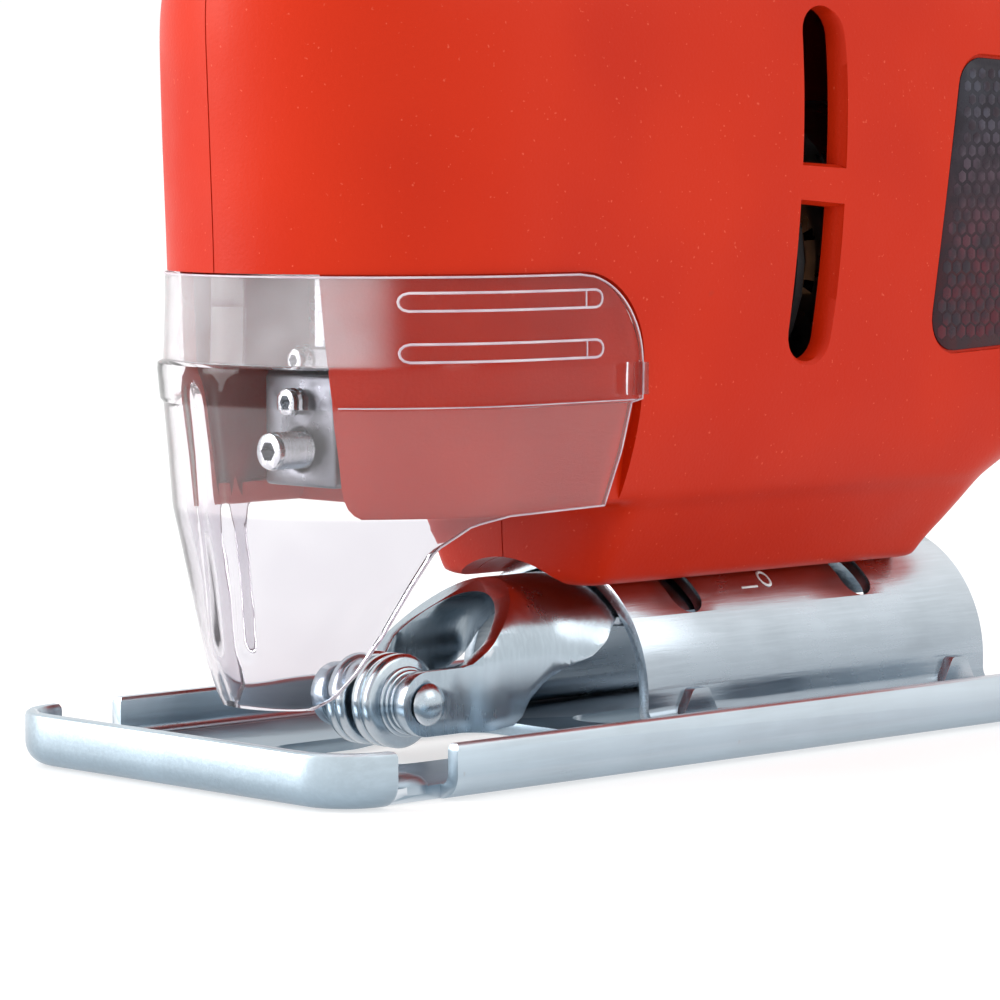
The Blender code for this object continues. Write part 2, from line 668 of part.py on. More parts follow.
def guide_roller():
    """The grooved roller that backs the blade, and its riveted pin."""
    profile = ((2.3, -7.6), (4.2, -7.6), (4.2, -5.9), (6.1, -5.5), (6.1, -4.2), (ROLLER_R, -3.8),
               (ROLLER_R, -0.9), (3.9, -0.75))
    profile = list(profile) + [(r, -y) for r, y in reversed(profile)]
    finish(turned("Y", (ROLLER_X, ROLLER_Z), profile, 26), "guide_roller", "zinc_steel", "roller_pivot")
    head = ((0, 11.9), (1.8, 11.6), (3.2, 10.3), (2.0, 10.3))
    profile = [(r, -y) for r, y in head] + [(r, y) for r, y in reversed(head)]
    finish(turned("Y", (ROLLER_X, ROLLER_Z), profile, 16), "roller_pin", "zinc_steel")


def base_fixings():
    """The two socket-head screws that hold the base, their washers, and the nut bar in the housing."""
    for i, x in enumerate(BASE_SCREW_X):
        name = ("front", "rear")[i]
        screw = turned("Z", (x, 0), ((0, 16.5), (4.0, 16.5), (4.3, 16.9), (4.3, 20.5), (2.5, 20.5), (2.5, 41.5),
                                     (0, 41.5)), 16)
        cut(screw, cylinder("Z", (x, 0), 15, 19.3, 2.2, 6))
        finish(screw, f"base_screw_{name}", "dark_steel")
        washer = turned("Z", (x, 0), ((2.8, 20.8), (6.0, 20.8), (6.0, 21.8), (2.8, 21.8)), 16)
        finish(washer, f"base_washer_{name}", "zinc_steel")
    low, high = BASE_SCREW_X
    bar = box((low - 7, -6, 33.0), (high + 7, 6, 38.0))
    cut(bar, *[cylinder("Z", (x, 0), 30, 40, 2.8, 12) for x in BASE_SCREW_X])
    finish(bar, "base_nut_bar", "zinc_steel")


# --- the chip guard -----------------------------------------------------------------------------------------
def guard_line(level, inset, nose_steps=7):
    """One level of the guard's U, from its left rear end round the nose to its right rear end."""
    z, front, nose, half, end = level
    front, half = front + inset, half - inset
    full = front + nose
    left = []
    sweep = math.pi / 2 if end >= full else math.acos(max(-1.0, min(1.0, (full - end) / nose)))
    for i in range(nose_steps + 1):
        a = sweep * i / nose_steps
        left.append((front + nose * (1 - math.cos(a)), -half * math.sin(a), z))
    back = max(end, full + 0.5)
    tail = [(full + (back - full) * t, -half, z) for t in (0.5, 1.0)] if end >= full else []
    if not tail:
        (x0, y0, _), (x1, y1, _) = left[-2], left[-1]
        tail = [(x1 + (x1 - x0) * 0.06 * k, y1 + (y1 - y0) * 0.06 * k, z) for k in (1, 2)]
    left += tail
    return [(x, y, z) for x, y, z in reversed(left)] + [(x, -y, z) for x, y, z in left[1:]]


def chip_guard():
    """The clear guard that wraps the nose, open at the back, its foot drawn in to a beak."""
    rows = [guard_line(level, 0) for level in GUARD_LEVELS]
    inner = [guard_line(level, GUARD_WALL) for level in GUARD_LEVELS]
    rings = [outer + list(reversed(back)) for outer, back in zip(rows, inner)]
    finish(loft(rings), "chip_guard", "clear_plastic", "guard_pivot")


# --- the saw drive --------------------------------------------------------------------------------------------
def plunger():
    """The reciprocating rod with its yoke, and the blade clamp with its two set screws."""
    x, slot = PLUNGER_X, CRANK_R + 4.8
    rod = cylinder("Z", (x, 0), CLAMP_Z[1] + GAP, 109.5, PLUNGER_R, 16)
    yoke = box((x + 1, -slot - 2.5, GEAR_Z - 6.2), (x + 10, slot + 2.5, GEAR_Z + 6.2))
    cut(yoke, box((x + 5.2, -slot, GEAR_Z - 4.8), (x + 12, slot, GEAR_Z + 4.8)))
    finish(join(rod, yoke), "plunger", "zinc_steel", "saw_pivot")
    low, high = CLAMP_Z
    block = rounded(box((x - 7, -7.5, low), (x + 7.5, 7.5, high)), 0.8, 1)
    cut(block, box((x - 3.5, -0.85, low - 1), (x + 5, 0.85, low + 11)))
    cut(block, cylinder("X", (0, low + 5.3), x - 9, x - 4.2, 3.0, 16))
    cut(block, cylinder("Y", (x - 1, high - 5), -9, -2, 3.0, 16))
    finish(block, "blade_clamp", "dark_steel", "saw_pivot")
    front = cylinder("X", (0, low + 5.3), x - 13, x - 4.5, 2.7, 20)
    cut(front, cylinder("X", (0, low + 5.3), x - 14, x - 9, 1.5, 6))
    finish(front, "clamp_screw_front", "zinc_steel", "saw_pivot")
    side = cylinder("Y", (x - 1, high - 5), -11.5, -2.3, 2.7, 20)
    cut(side, cylinder("Y", (x - 1, high - 5), -12.5, -8, 1.5, 6))
    finish(side, "clamp_screw_side", "zinc_steel", "saw_pivot")
    for name, start in (("plunger_bush_lower", BUSH_Z[0]), ("plunger_bush_upper", BUSH_Z[1])):
        ring = turned("Z", (x, 0), ((PLUNGER_R + GAP, start), (6.5, start), (6.5, start + 7.6),
                                    (PLUNGER_R + GAP, start + 7.6)), 16)
        finish(ring, name, "bronze")


def gear_case():
    """The cast frame that holds the plunger's bushes, the gear's axle and the motor's front bearing."""
    x, (inner, outer), top = PLUNGER_X, CASE_SIDE, BUSH_Z[1] + 8
    case = box((61.0, -outer, 50), (66.0, outer, top))
    for side in (-1, 1):
        low, high = sorted((side * inner, side * outer))
        join(case, box((x, low, BUSH_Z[0]), (62, high, top)))
    for low in BUSH_Z:
        bar = box((x - 7.5, -15.5, low), (x + 7.5, 15.5, low + 8))
        join(bar, box((x + 0.5, -inner - 1, low), (x + 7.5, inner + 1, low + 8)))
        join(case, cut(bar, cylinder("Z", (x, 0), low - 5, low + 15, 6.9, 16)))
    cut(case, cylinder("X", (0, MOTOR_Z), 55, 70, 9.8, 20), cylinder("X", (0, GEAR_Z), 55, 70, 3.3, 12))
    finish(simplify(case), "gear_case", "cast_aluminium")


def gear_outline(teeth, shift):
    """An involute spur gear's outline with a little backlash; shift moves the teeth out, in modules."""
    m, pressure, backlash = GEAR_MODULE, math.radians(20), 0.14
    pitch = m * teeth / 2
    base = pitch * math.cos(pressure)
    tip, root = pitch + (0.85 + shift) * m, pitch - (1.22 - shift) * m
    half_at_pitch = (math.pi / 2 + 2 * shift * math.tan(pressure)) / teeth - backlash / (2 * pitch)

    def half_angle(radius):
        lean = math.acos(min(1.0, base / radius))
        return half_at_pitch + (math.tan(pressure) - pressure) - (math.tan(lean) - lean)

    lowest = max(base, root) + 0.02
    flank = [(root, half_angle(lowest)), ((lowest + tip) / 2, half_angle((lowest + tip) / 2)),
             (tip, half_angle(tip))]
    outline = []
    for t in range(teeth):
        middle = 2 * math.pi * t / teeth
        outline += [(r, middle - a) for r, a in flank] + [(r, middle + a) for r, a in reversed(flank)]
    return outline


def gear_blank(teeth, shift, centre, start, end, turn=0.0):
    """The gear's solid on an X axis at centre, with its first tooth turned from +Y."""
    y0, z0 = centre
    points = [(y0 + r * math.cos(a + turn), z0 + r * math.sin(a + turn)) for r, a in gear_outline(teeth, shift)]
    return flat([points], "X", start, end)


def drive_train():
    """The big gear, its axle and crank, and the armature that turns it."""
    shift = 0.35
    gear = gear_blank(GEAR_TEETH, -shift, (0, GEAR_Z), *GEAR_X)
    finish(cut(gear, cylinder("X", (0, GEAR_Z), 40, 70, 3.4, 12)), "drive_gear", "dark_steel", "gear_pivot")
    finish(cylinder("X", (0, GEAR_Z), 50.2, 65.5, 3.0, 12), "gear_axle", "zinc_steel")
    finish(cylinder("X", (CRANK_R, GEAR_Z), 44.0, GEAR_X[0] - GAP, 2.2, 12), "crank_pin", "zinc_steel", "gear_pivot")
    ring = turned("X", (CRANK_R, GEAR_Z), ((2.5, 44.0), (4.3, 44.0), (4.3, 49.5), (2.5, 49.5)), 16)
    finish(ring, "crank_roller", "zinc_steel", "gear_pivot")
    # a tooth gap of the pinion faces the gear's tooth at the foot of its pitch circle
    shaft = gear_blank(PINION_TEETH, shift, (0, MOTOR_Z), 50.2, 60.0, turn=math.pi / 2 + math.pi / PINION_TEETH)
    join(shaft, cylinder("X", (0, MOTOR_Z), 59.5, 190.0, 4.0, 12))
    finish(shaft, "armature_shaft", "zinc_steel", "armature_pivot")


def armature():
    """What turns on the shaft: the slotted core, the windings, the commutator and the fan."""
    slots, outer, inner = 12, 17.0, 13.8
    outline = []
    for k in range(slots):
        for degrees, r in ((-11, outer), (11, outer), (12.5, inner), (17.5, inner)):
            a = math.radians(360 / slots * k + degrees)
            outline.append((r * math.cos(a), MOTOR_Z + r * math.sin(a)))
    core = flat([outline], "X", 118, 154)
    finish(cut(core, cylinder("X", (0, MOTOR_Z), 110, 160, 4.3, 12)), "armature_core", "dark_steel", "armature_pivot")
    for name, start, end in (("winding_front", 111.5, 117.7), ("winding_rear", 154.3, 161.5)):
        ring = turned("X", (0, MOTOR_Z), ((4.3, start), (12, start), (13.6, start + 1.5), (13.6, end), (4.3, end)), 16)
        finish(ring, name, "copper", "armature_pivot")
    ring = turned("X", (0, MOTOR_Z), ((4.3, 163), (9.5, 163), (9.5, 175), (4.3, 175)), 20)
    finish(ring, "commutator", "copper", "armature_pivot")
    fan = cylinder("X", (0, MOTOR_Z), 105.5, 107, 23.5, 28)
    join(fan, cylinder("X", (0, MOTOR_Z), 96, 106, 6.5, 16))
    for k in range(9):
        blade = box((96.5, 5.8, -0.7), (106, 23, 0.7))
        blade.data.transform(Matrix.Translation(Vector((0, 0, MOTOR_Z)) * MM)
                             @ Matrix.Rotation(math.radians(40 * k), 4, "X"))
        join(fan, blade)
    finish(cut(fan, cylinder("X", (0, MOTOR_Z), 90, 110, 4.3, 12)), "cooling_fan", "black_plastic", "armature_pivot")


def motor_fixed_parts():
    """The field core, the two bearings, the brush holders and their brushes."""
    ring = turned("X", (0, MOTOR_Z), ((17.6, 116), (24.8, 116), (24.8, 156), (17.6, 156)), 32)
    finish(ring, "field_core", "dark_steel")
    for name, start in (("motor_bearing_front", 61.5), ("motor_bearing_rear", 181.0)):
        ring = turned("X", (0, MOTOR_Z), ((4.3, start), (9.5, start), (9.5, start + 6), (4.3, start + 6)), 20)
        finish(ring, name, "zinc_steel")
    for side, name in ((-1, "left"), (1, "right")):
        holder = box((165, *sorted((side * 12, side * 25))[:1], MOTOR_Z - 4.5),
                     (173, sorted((side * 12, side * 25))[1], MOTOR_Z + 4.5))
        cut(holder, box((166.2, -30, MOTOR_Z - 3.3), (171.8, 30, MOTOR_Z + 3.3)))
        finish(holder, f"brush_holder_{name}", "bronze")
        low, high = sorted((side * 9.9, side * 22))
        finish(box((166.5, low, MOTOR_Z - 3), (171.5, high, MOTOR_Z + 3)), f"carbon_brush_{name}", "carbon")


# --- the controls -----------------------------------------------------------------------------------------------
def controls():
    """The trigger with its spring, the switch, the lock button, the speed dial and the cord's inlet."""
    outline = rounded_outline(((82, 168.5), (82, 160), (79.5, 151), (86, 151.5), (95, 155), (106, 157.5), (106, 168.5)),
                              (1.5, 3, 2.2, 5, 8, 2, 1.5), 3)
    trigger = rounded(flat([outline], "Y", -6.6, 6.6), 1.2, 2)
    cut(trigger, cylinder("Z", (TRIGGER_X, 0), 164.5, 175, 2.6, 12))
    finish(trigger, "trigger", "black_plastic", "trigger_pivot")
    switch = rounded(box((84, -8.5, 176.5), (110, 8.5, 186.2)), 0.8, 1)
    finish(switch, "switch_block", "black_plastic")
    spring = turned("Z", (TRIGGER_X, 0), ((1.5, 164.8), (2.3, 164.8), (2.3, 176.2), (1.5, 176.2)), 12)
    finish(spring, "trigger_spring", "zinc_steel")
    button = turned("Y", LOCK_PLACE, ((0, -19.6), (3.9, -19.3), (4.9, -18.2), (4.9, -10), (0, -10)), 20)
    finish(button, "lock_button", "black_plastic", "lock_pivot")
    x, z = DIAL_PLACE
    outline = []
    for k in range(24):
        for r, part in ((9.0, 0), (9.6, 0.3), (9.6, 0.7)):
            a = 2 * math.pi * (k + part) / 24
            outline.append((x + r * math.cos(a), z + r * math.sin(a)))
    dial = flat([outline], "Y", -3.6, 3.6)
    finish(cut(dial, cylinder("Y", (x, z), -9, 9, 2.2, 12)), "speed_dial", "black_plastic", "dial_pivot")
    finish(cylinder("Y", (x, z), -8, 8, 1.9, 12), "dial_pin", "zinc_steel")
    profile = ((3.6, 205.5), (6.9, 205.5), (6.9, 216.2), (9.0, 216.2), (9.0, 218.6), (7.6, OVERALL_LENGTH),
               (3.6, OVERALL_LENGTH))
    finish(turned("X", (0, INLET_Z), profile, 20), "cord_inlet_bush", "black_rubber")


clear_scene()
PARTS = new_collection("jigsaw")
CUTTERS = new_collection("cutters")
ORIGIN = bpy.data.objects.new("tool_origin", None)
PARTS.objects.link(ORIGIN)
ORIGIN.location = (-OVERALL_LENGTH / 2 * MM, 0, 0)
for pivot_name, pivot_place in PIVOTS.items():
    empty = bpy.data.objects.new(pivot_name, None)
    PARTS.objects.link(empty)
    empty.parent = ORIGIN
    empty.location = Vector(pivot_place) * MM

housing()
housing_screws()
handle_grip()
labels()
sole_plate()
saddle_bracket()
roller_bracket()
guide_roller()
base_fixings()
chip_guard()
plunger()
gear_case()
drive_train()
armature()
motor_fixed_parts()
controls()
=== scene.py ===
"""Looks for the jigsaw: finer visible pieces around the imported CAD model, its materials, and a studio.

Helpers take millimetres as the CAD does: X from the sole's front edge backwards, Y to the tool's right,
Z up from the sole's underside. FRONT puts them into the frame.
"""

import math

import bmesh
import bpy
from mathutils import Matrix, Vector


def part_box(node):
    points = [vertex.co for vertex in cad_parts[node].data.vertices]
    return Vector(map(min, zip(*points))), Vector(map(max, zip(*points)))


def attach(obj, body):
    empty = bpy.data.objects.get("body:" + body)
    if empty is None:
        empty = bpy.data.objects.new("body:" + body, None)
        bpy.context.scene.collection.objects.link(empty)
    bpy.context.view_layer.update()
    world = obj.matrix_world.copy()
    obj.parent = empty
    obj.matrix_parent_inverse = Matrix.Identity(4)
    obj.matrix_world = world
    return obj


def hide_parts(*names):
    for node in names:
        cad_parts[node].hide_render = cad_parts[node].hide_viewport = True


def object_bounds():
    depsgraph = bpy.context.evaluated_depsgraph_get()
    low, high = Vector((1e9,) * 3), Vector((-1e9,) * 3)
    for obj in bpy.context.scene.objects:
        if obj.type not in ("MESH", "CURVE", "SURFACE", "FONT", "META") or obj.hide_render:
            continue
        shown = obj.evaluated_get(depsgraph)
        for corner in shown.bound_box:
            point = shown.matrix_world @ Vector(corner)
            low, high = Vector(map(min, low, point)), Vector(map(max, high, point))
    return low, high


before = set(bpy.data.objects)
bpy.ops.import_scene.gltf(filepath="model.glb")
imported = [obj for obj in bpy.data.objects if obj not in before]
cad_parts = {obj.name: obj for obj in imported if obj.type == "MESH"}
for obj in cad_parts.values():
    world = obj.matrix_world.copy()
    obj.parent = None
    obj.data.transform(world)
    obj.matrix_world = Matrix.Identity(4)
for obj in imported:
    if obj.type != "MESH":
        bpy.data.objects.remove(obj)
CAD_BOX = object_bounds()
SCENE = bpy.context.scene
MM = 0.001
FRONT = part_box("sole_plate")[0].x  # the sole's front edge in the frame

# --- sizes shared with the CAD, in millimetres --------------------------------------------------------
GAP = 0.3
SHEET = 2.0
WALL = 3.2
SEAM = 0.12  # half of the fine gap between the two shells
SOLE_LENGTH, SOLE_HALF, FLANGE, SOLE_BEND, SOLE_CORNER = 160.0, 37.5, 7.8, 3.4, 10.0
NOTCH = (10.4, 21.5)
SADDLE_Z, SADDLE_R, SADDLE_X = 8.0, 20.0, (77.0, 154.0)
STRAP_R = 16.5
BASE_SCREW_X = (90.5, 129.0)
SLOT_HALF_ANGLE = math.radians(46)
PLUNGER_X = 33.0
CLAMP_Z = (41.0, 57.0)
ROLLER = (41.5, 9.1)
CHEEK_BACK, OPENING_TOP, CHEEK_RECESS = 64.5, 71.8, 1.6
LOCK_PLACE, DIAL_PLACE, INLET_Z = (116.0, 176.0), (56.0, 177.0), 143.0

# (height, front, nose length, rear, rear corner radius, half width)
BODY_LEVELS = (
    (37.5, 12.5, 30.0, 158.0, 16.0, 24.5),
    (44.0, 11.3, 31.5, 170.0, 19.0, 27.2),
    (52.0, 10.6, 33.0, 187.0, 22.0, 29.3),
    (61.0, 10.2, 33.0, 202.0, 24.0, 30.0),
    (76.0, 9.8, 33.0, 210.0, 25.0, 30.4),
    (96.0, 9.0, 33.0, 212.0, 25.0, 30.4),
    (109.0, 8.6, 33.0, 211.0, 24.0, 29.6),
    (117.0, 10.0, 32.0, 207.0, 22.0, 27.0),
    (122.0, 14.0, 29.0, 200.0, 18.0, 22.5),
    (124.5, 20.0, 22.0, 191.0, 13.0, 16.5),
)
LOWER_LEVELS = (
    (24.6, 66.6, 3.0, 142.5, 3.0, 16.5),
    (27.0, 66.3, 3.5, 144.0, 4.0, 17.6),
    (32.0, 66.0, 4.0, 149.0, 6.0, 20.4),
    (38.5, 65.8, 5.0, 155.0, 9.0, 24.1),
    (47.0, 64.0, 6.0, 164.0, 12.0, 27.0),
)
# the cheeks reach lower while the skin is softened, and are then cut off square
CHEEK_LEVELS = (
    (30.0, 13.9, 28.0, 130.0, 10.0, 21.4), (34.0, 13.1, 29.1, 130.0, 10.0, 23.1), *BODY_LEVELS[:3],
)
CHEEK_END = 62.5
# (x, z, half thickness in the side view, half width) along the handle's centreline
HANDLE = (
    (47, 104, 31, 27), (44, 122, 28, 22.5), (44, 141, 23, 18.5), (52, 160, 19.5, 17),
    (72, 174, 17, 16.5), (104, 180, 16.5, 16.5), (140, 180.5, 16.5, 17), (171, 176, 16.5, 17.5),
    (191, 162, 16.5, 18), (198, 141, 16.5, 19.5), (197, 121, 18, 23), (194, 104, 22, 27),
)
GRIP_SPAN, GRIP_SKIN = (4.15, 7.2), 1.6
SCREWS = ((17, 113, 13), (45, 128, 19.5), (79, 52, 28), (162, 48, 21), (202, 83, 22), (198, 133, 19),
          (53, 160, 15.5), (188, 166, 16.5))
VENT_ARC, VENT_HALF = ((-133.2, 99.0), 237.0), 4.1
LABEL_CORNERS = ((128.5, 57.8), (180, 60), (184, 101), (136.3, 103.5))
LABEL_CENTRE, LABEL_ROUND, LABEL_FLOOR = (157.0, 80.0), 5.0, 29.4
# (height, front, nose length, half width) of the chip guard's outer surface
GUARD_LEVELS = (
    (10.0, 14.6, 7.0, 9.2), (11.8, 14.0, 8.6, 10.7), (15.5, 13.2, 11.0, 13.6), (20.5, 12.6, 14.0, 16.6),
    (27.5, 12.0, 18.0, 20.8), (33.0, 11.3, 22.0, 24.1), (36.3, 10.9, 24.5, 26.3), (37.9, 10.6, 25.5, 27.0),
    (46.0, 9.9, 30.0, 29.2), (52.9, 8.9, 33.4, 30.2), (53.4, 8.8, 33.5, 31.3), (57.6, 8.2, 34.3, 31.4),
    (58.6, 8.3, 34.2, 31.4), (59.0, 9.5, 33.2, 31.3), (66.0, 9.8, 33.0, 31.1), (71.4, 9.8, 33.0, 31.0),
)
# (height, rear end) of the chip guard
GUARD_ENDS = (
    (10.0, 20.0), (11.8, 23.2), (15.5, 25.0), (20.5, 26.7), (27.5, 28.4), (33.0, 30.2), (36.3, 35.0),
    (37.4, 42.0), (37.9, 60.6), (46.0, 61.9), (52.9, 62.9), (53.4, 64.0), (58.9, 64.0),
)
GUARD_WALL, GUARD_CORNER = 1.5, 12.4
RIB_PLACE, RIB_HALF, RIB_HEIGHT = 3.4, 1.7, 0.8  # the two upright ribs on its nose
GRIP_BARS, GRIP_BAR_SPAN = (68.0, 60.9), (22.4, 55.4)
GUARD_STEP = 53.3  # the height of the fine step along its sides


# --- the camera and the lights, in metres and watts ---------------------
CAMERA_AZIMUTH = math.radians(43.94)  # from +Y towards +X
CAMERA_PITCH = math.radians(4.49)
CAMERA_PLACE = (FRONT - 0.395, -0.478, 0.089)
CAMERA_LENS = 160.5
LIGHTS = (
    ("left_softbox", (-0.85, 0.62, 0.45), (0.5, 0.9), 9),
    ("front_softbox", (0.35, -1.1, 0.9), (1.0, 0.6), 2.5),
    ("top_softbox", (0.1, 0.1, 1.3), (1.0, 0.8), 2),
)


# --- mesh helpers ------------------------------------------------------
def shape(bm, name="piece"):
    """An object with the bmesh's faces, turned to point out and moved from millimetres into the frame."""
    bmesh.ops.recalc_face_normals(bm, faces=bm.faces)
    if bm.calc_volume(signed=True) < 0:
        bmesh.ops.reverse_faces(bm, faces=bm.faces)
    bm.transform(Matrix.Translation((FRONT, 0, 0)) @ Matrix.Scale(MM, 4))
    mesh = bpy.data.meshes.new(name)
    bm.to_mesh(mesh)
    bm.free()
    obj = bpy.data.objects.new(name, mesh)
    SCENE.collection.objects.link(obj)
    return obj


def bake(obj):
    bpy.context.view_layer.update()
    mesh = bpy.data.meshes.new_from_object(obj.evaluated_get(bpy.context.evaluated_depsgraph_get()))
    obj.modifiers.clear()
    obj.data = mesh
    return obj


def boolean(obj, other, operation):
    """Cuts, joins or intersects obj with other, which is used up."""
    modifier = obj.modifiers.new("join", "BOOLEAN")
    modifier.operation = operation
    modifier.solver = "MANIFOLD"
    modifier.object = other
    bake(obj)
    bpy.data.objects.remove(other)
    return obj


def cut(obj, *others):
    for other in others:
        boolean(obj, other, "DIFFERENCE")
    return obj


def join(obj, *others):
    for other in others:
        boolean(obj, other, "UNION")
    return obj


def rounded(obj, width, segments=3, angle=35):
    modifier = obj.modifiers.new("rounded", "BEVEL")
    modifier.width = width * MM
    modifier.segments = segments
    modifier.angle_limit = math.radians(angle)
    return bake(obj)


def moved(obj, matrix):
    """Turns or moves the mesh, with a matrix in the frame's metres."""
    obj.data.transform(matrix)
    return obj


def tilted(angle):
    """A turn about the saddle's axis."""
    centre = Matrix.Translation((0, 0, SADDLE_Z * MM))
    return centre @ Matrix.Rotation(angle, 4, "X") @ centre.inverted()


def between(side, a, b):
    """A span across the tool on one side: side is -1 for the left, 1 for the right."""
    return sorted((side * a, side * b))


def block(low, high):
    bm = bmesh.new()
    bmesh.ops.create_cube(bm, size=1)
    low, high = Vector(low), Vector(high)
    bm.transform(Matrix.Translation((high + low) / 2) @ Matrix.Diagonal((*(high - low), 1)))
    return shape(bm)


TURN = {"X": Matrix.Rotation(math.pi / 2, 4, "Y"), "Y": Matrix.Rotation(-math.pi / 2, 4, "X"),
        "Z": Matrix.Identity(4)}


def centre_of(axis, centre, along=0.0):
    return {"X": (along, *centre), "Y": (centre[0], along, centre[1]), "Z": (*centre, along)}[axis]


def rod(axis, centre, start, end, radius, sides=32):
    bm = bmesh.new()
    bmesh.ops.create_cone(bm, cap_ends=True, segments=sides, radius1=radius, radius2=radius,
                          depth=end - start)
    bm.transform(Matrix.Translation(centre_of(axis, centre, (start + end) / 2)) @ TURN[axis])
    return shape(bm)


def turned(axis, centre, profile, sides=48):
    """A closed profile of (radius, distance along the axis) points, turned about the axis."""
    solid = profile[0][0] == 0 and profile[-1][0] == 0
    bm = bmesh.new()
    rings = []
    for r, h in profile:
        if r == 0:
            rings.append([bm.verts.new((0, 0, h))] * sides)
            continue
        turns = [2 * math.pi * k / sides for k in range(sides)]
        rings.append([bm.verts.new((r * math.cos(t), r * math.sin(t), h)) for t in turns])
    pairs = list(zip(rings, rings[1:])) + ([] if solid else [(rings[-1], rings[0])])
    for low, high in pairs:
        for i in range(sides):
            j = (i + 1) % sides
            corners = list(dict.fromkeys((low[i], low[j], high[j], high[i])))
            if len(corners) > 2:
                bm.faces.new(corners)
    bm.transform(Matrix.Translation(centre_of(axis, centre)) @ TURN[axis])
    return shape(bm)


def loft(rings, ends=True):
    bm = bmesh.new()
    rows = [[bm.verts.new(p) for p in ring] for ring in rings]
    for low, high in list(zip(rows, rows[1:])) + ([] if ends else [(rows[-1], rows[0])]):
        for i in range(len(low)):
            j = (i + 1) % len(low)
            bm.faces.new((low[i], low[j], high[j], high[i]))
    if ends:
        bm.faces.new(rows[0])
        bm.faces.new(rows[-1])
    return shape(bm)


def sheet(rows, thickness=SHEET):
    """An open grid of points made a sheet of that thickness, half to each side."""
    bm = bmesh.new()
    grid = [[bm.verts.new(p) for p in row] for row in rows]
    for low, high in zip(grid, grid[1:]):
        for i in range(len(low) - 1):
            bm.faces.new((low[i], low[i + 1], high[i + 1], high[i]))
    obj = shape(bm)
    solid = obj.modifiers.new("sheet", "SOLIDIFY")
    solid.thickness = thickness * MM
    solid.offset = 0
    solid.use_even_offset = True
    return bake(obj)


def flat(outline, axis, start, end):
    """A flat piece from a closed 2D outline, along an axis."""
    return loft([[centre_of(axis, point, w) for point in outline] for w in (start, end)])


def arc(centre, radius, start, end, steps):
    """Points on an arc, in degrees."""
    return [(centre[0] + radius * math.cos(math.radians(start + (end - start) * i / steps)),
             centre[1] + radius * math.sin(math.radians(start + (end - start) * i / steps)))
            for i in range(steps + 1)]


def rounded_outline(corners, radii, steps=8):
    points = []
    for i, corner in enumerate(corners):
        here = Vector(corner)
        before = (Vector(corners[i - 1]) - here).normalized()
        after = (Vector(corners[(i + 1) % len(corners)]) - here).normalized()
        half = before.angle(after) / 2
        if radii[i] == 0:
            points.append(tuple(here))
            continue
        reach = radii[i] / math.tan(half)
        centre = here + (before + after).normalized() * radii[i] / math.sin(half)
        a, b = (here + before * reach - centre).normalized(), (here + after * reach - centre).normalized()
        points += [tuple(centre + a.slerp(b, k / steps) * radii[i]) for k in range(steps + 1)]
    return points


def spline(rows, at):
    """A row of the table at a fractional index, on a smooth curve through the rows."""
    i = min(int(at), len(rows) - 2)
    t = at - i
    p = [Vector(rows[max(0, min(len(rows) - 1, i + k))]) for k in (-1, 0, 1, 2)]
    return 0.5 * (2 * p[1] + (p[2] - p[0]) * t + (2 * p[0] - 5 * p[1] + 4 * p[2] - p[3]) * t * t
                  + (3 * p[1] - p[0] - 3 * p[2] + p[3]) * t ** 3)


def table(rows, at):
    """The values beside a height in a table whose first column is the height, in straight lines."""
    if at <= rows[0][0]:
        return rows[0][1:]
    for low, high in zip(rows, rows[1:]):
        if at <= high[0]:
            t = (at - low[0]) / (high[0] - low[0])
            return [a + (b - a) * t for a, b in zip(low[1:], high[1:])]
    return rows[-1][1:]


def piece(obj, name, body, slot, look, *nodes, smooth=35):
    """Names a visible piece, gives it its material, and says what it rides on and stands for."""
    obj.name = obj.data.name = name
    obj.data.materials.clear()
    obj.data.materials.append(LOOKS[look])
    obj.data.shade_smooth()
    obj.data.set_sharp_from_angle(angle=math.radians(smooth))
    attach(obj, body)
    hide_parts(*nodes)
    return obj


